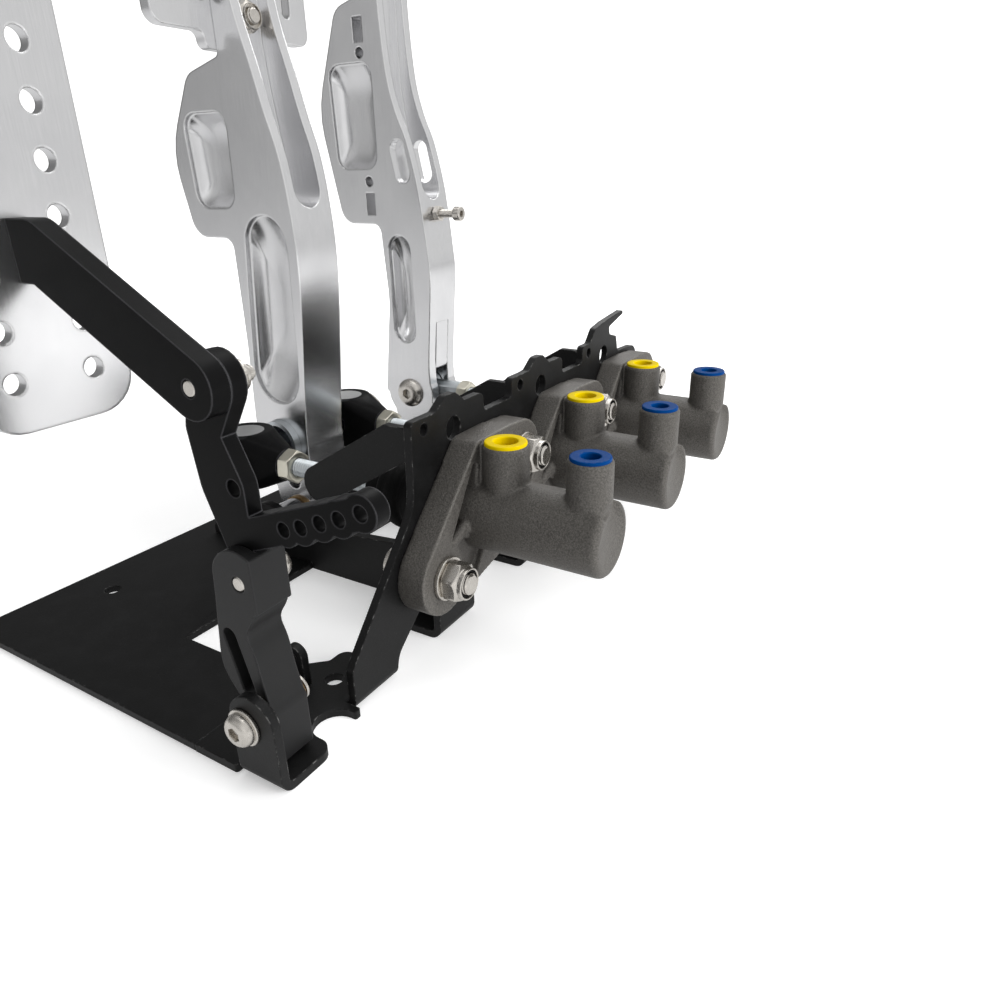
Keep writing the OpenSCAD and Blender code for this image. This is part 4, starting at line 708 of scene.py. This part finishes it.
def rib(start, end, reach_start, reach_end):
    """Round rib between two points: rings of a tapering circle across the straight path, closed by points."""
    start, end = np.asarray(start, float), np.asarray(end, float)
    run = (end - start) / np.linalg.norm(end - start)
    side = np.cross(run, (0.0, 1.0, 0.0))
    side = side / np.linalg.norm(side)
    lift = np.cross(side, run)
    t = np.linspace(0, 2 * np.pi, 24, endpoint=False)
    ring = np.cos(t)[:, None] * side + np.sin(t)[:, None] * lift
    s = np.linspace(0, 1, 9)
    reach = np.concatenate([[0.0], reach_start + (reach_end - reach_start) * s, [0.0]])
    path = start + np.concatenate([[0.0], s, [1.0]])[:, None] * (end - start)
    return path[:, None, :] + reach[:, None, None] * ring[None]


def straightened(mesh, a):
    """Port bosses with straight sides: points on the flare (reach R + f(z)) move to reach R, and those on
    the barrel stay on it, z = sqrt(BARREL_R**2 - x**2); the boss tops rise to the plug flanges."""
    raised, close = 0.9, 0.06
    flare_z, flare_out = (11.0, 13.5, 17.0), np.array((3.0, 1.0, 0.0))
    chamfer_z = 25.9
    points = np.empty(len(mesh.vertices) * 3)
    mesh.vertices.foreach_get("co", points)
    points = points.reshape(-1, 3) / MM
    x, z = points[:, 0] - a, points[:, 2] - AXIS_Z
    for middle, reach in ((FEED_Y, FEED_BOSS_R), (OUTLET_Y, OUTLET_BOSS_R)):
        across = points[:, 1] - middle
        r = np.hypot(x, across)
        flare = np.interp(z, flare_z, reach + flare_out)
        on_flare = (z > 2.0) & (z < 16.9) & (np.abs(r - flare) < close)
        on_barrel = on_flare & (np.abs(np.hypot(x, z) - BARREL_R) < close)
        shrink = np.where(on_flare, reach / np.maximum(r, 1e-6), 1.0)
        x, across = x * shrink, across * shrink
        z = np.where(on_barrel, np.sqrt(np.maximum(BARREL_R ** 2 - x ** 2, 0.0)), z)
        z = np.where((z > chamfer_z) & (np.hypot(x, across) < reach + 0.1), z + raised, z)
        points[:, 1] = middle + across
    points[:, 0], points[:, 2] = x + a, z + AXIS_Z
    mesh.vertices.foreach_set("co", (points * MM).ravel())
    return mesh


def castings():
    """Cylinder castings: body and rib are cut into small cells and relaxed, so corners get a cast radius."""
    cell = 0.50 * MM
    for n, a in zip((1, 2, 3), AXES):
        node = "cylinder_body_%d" % n
        outer, inner = (a + 24.0, 89.4, AXIS_Z - 6.0), (a + 11.0, 90.4, AXIS_Z + 1.0)
        web = skin("web", [rib(outer, inner, 1.6, 2.6)])
        work = bmesh.new()
        work.from_mesh(straightened(merged(node), a))
        work.from_mesh(web)
        whole = bpy.data.meshes.new(node + "_whole")
        work.to_mesh(whole)
        work.free()
        steps = [("REMESH", {"mode": "VOXEL", "voxel_size": cell, "use_smooth_shade": True}),
                 ("SMOOTH", {"factor": 0.5, "iterations": 5})]
        settle("casting_%d" % n, remade(whole, steps), FINISH["cast_grey"], node, sharp=80.0)


def dressed():
    """Smooth copies of the machined and folded solids with real rounded edges."""
    edge_angle, flat_angle = 38.0, 0.5
    plates = ("brake_pad", "clutch_pad", "throttle_pad", "throttle_arm", "base_plate")
    widths = {"brake_arm": 0.8, "clutch_arm": 0.8, "throttle_arm": 0.5, "throttle_crank": 0.8,
              "throttle_pad_arm": 0.6, "clevis_1": 0.5, "clevis_2": 0.5, "bulkhead": 0.45,
              "brake_rails": 0.4, "clutch_rails": 0.4, "base_plate": 0.4, "brake_pad": 0.5,
              "clutch_pad": 0.5, "throttle_pad": 0.5}
    for node, width in widths.items():
        copy = merged(node)
        shaded(copy, edge_angle)
        steps = [("BEVEL", {"width": width * MM, "segments": 2, "limit_method": "ANGLE",
                            "angle_limit": np.radians(edge_angle), "use_clamp_overlap": True,
                            "harden_normals": True}),
                 ("WEIGHTED_NORMAL", {"mode": "FACE_AREA", "weight": 100, "keep_sharp": True})]
        if node in plates:
            joined = {"decimate_type": "DISSOLVE", "angle_limit": np.radians(flat_angle)}
            steps.insert(0, ("DECIMATE", joined))
        finish = SATIN_BLACK if node == "throttle_arm" else FINISH[SLOT_OF[node]]
        settle(node + "_dressed", remade(copy, steps), finish, node, sharp=None)


def return_springs():
    """Return springs: merged copies of the coils on meshes of their own; how far each would shorten as its
    push rod slides in is worked out but not applied.
    """
    joints = frame["record"]["behaviour"]["joints"]
    travel = {joint["name"]: max(joint["range_m"]) for joint in joints if "range_m" in joint}
    room = 0.2 * MM
    for n in (1, 2, 3):
        node, slide = "return_spring_%d" % n, "push_%d_slide" % n
        low, high = (np.asarray(corner, float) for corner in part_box(node))
        coil = settle("coil_%d" % n, merged(node), FINISH["spring_steel"], node)
        share = 1.0 - (travel[slide] + room) / (high[1] - low[1])
        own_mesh(coil)


flange_hardware()
port_plugs()
boots()
push_rods()
throttle_fasteners()
clutch_fasteners()
fork_bridge()
pocket_floors()
pedal_fasteners()
castings()
dressed()
return_springs()


def studio():
    """Pale paper with a painted glow, dim near the box and white far out to the lens, and a painted light
    ramp in what reflections see; tent light, soft boxes.
    """
    side = 6.0
    grid = np.array([(-side, -side, 0.0), (side, -side, 0.0), (side, side, 0.0), (-side, side, 0.0)])
    mesh = bpy.data.meshes.new("floor")
    mesh.from_pydata(grid.tolist(), [], [(0, 1, 2, 3)])
    floor = bpy.data.objects.new("floor", mesh)
    bpy.context.scene.collection.objects.link(floor)
    f = Finish("floor_paper")
    x, y, _ = f.axes()
    fibre = f.noise(4 * MM, 3.0)
    # Painted light ramp in the colour that reflections and bounce see: brighter towards -x and +y.
    ramp = (y * 0.72 - x * 0.70).step(-0.55, 0.35)
    seen = f.node("ShaderNodeLightPath", out="Is Camera Ray")
    mirrored = f.mix(ramp, (0.56, 0.56, 0.565), (0.60, 0.60, 0.60))
    paper = f.mix(fibre, (0.87, 0.87, 0.87), (0.91, 0.91, 0.91))
    tone = f.mix(seen, mirrored, paper)
    # Painted glow seen by the lens: dim near the box so its shadows show, rising to white far out; other rays
    # get a faint even glow.
    far = (x * x + y * y).step(0.03, 0.75)
    shine = f.mix(far, (0.30, 0.30, 0.30), (1.0, 1.0, 1.0))
    glow = f.mix(seen, (0.24, 0.24, 0.24), shine)
    mesh.materials.append(f.surface(Base_Color=tone, Roughness=0.9, Specular_IOR_Level=0.0,
                                    Emission_Color=glow, Emission_Strength=1.0))
    world = bpy.data.worlds.new("surround")
    bpy.context.scene.world = world
    f = Finish("surround", world)
    x, y, z = f.axes()
    ahead = (y * 0.90 - x * 0.25).step(-0.3, 0.6) * 0.58
    tent = 0.16 + ahead + x.step(0.25, 0.85) * 0.34 + z.step(0.15, 0.95) * 0.14
    seen = f.node("ShaderNodeLightPath", out="Is Camera Ray")
    f.feed(f.shader.inputs["Strength"], seen * (1.25 - tent) + tent)
    f.shader.inputs["Color"].default_value = (1.0, 1.0, 1.0, 1.0)
    aim_at = Vector((0.0, 0.02, 0.08))
    for name, place_at, power, size in (
            ("key", (-0.10, 1.25, 0.50), 17.0, 0.7),
            ("top", (-0.25, 0.05, 1.3), 4.0, 0.9),
            ("back", (-0.95, -0.25, 0.8), 4.0, 0.6)):
        lamp = bpy.data.lights.new(name, "AREA")
        lamp.energy = power
        lamp.size = size
        box = bpy.data.objects.new(name, lamp)
        box.location = place_at
        box.visible_glossy = name != "key"
        aim = aim_at - Vector(place_at)
        box.rotation_euler = aim.to_track_quat("-Z", "Y").to_euler()
        bpy.context.scene.collection.objects.link(box)


def camera():
    """Camera solved from the straight edges of the box: a 27 mm lens close to the near corner."""
    right = Vector((-0.5123, 0.8582, -0.0170)).normalized()
    ahead = Vector((-0.7841, -0.4768, -0.3985)).normalized()
    up = right.cross(ahead).normalized()
    right = ahead.cross(up)
    lens = bpy.data.cameras.new("camera")
    lens.lens = 27.0
    lens.sensor_width = 36.0
    lens.sensor_fit = "HORIZONTAL"
    lens.clip_start = 0.005
    eye = bpy.data.objects.new("camera", lens)
    turn = Matrix((right, up, -ahead)).transposed().to_4x4()
    eye.matrix_world = Matrix.Translation((0.2469, 0.2268, 0.1644)) @ turn
    bpy.context.scene.collection.objects.link(eye)
    bpy.context.scene.camera = eye


studio()
camera()
bpy.context.scene.view_settings.view_transform = "Standard"
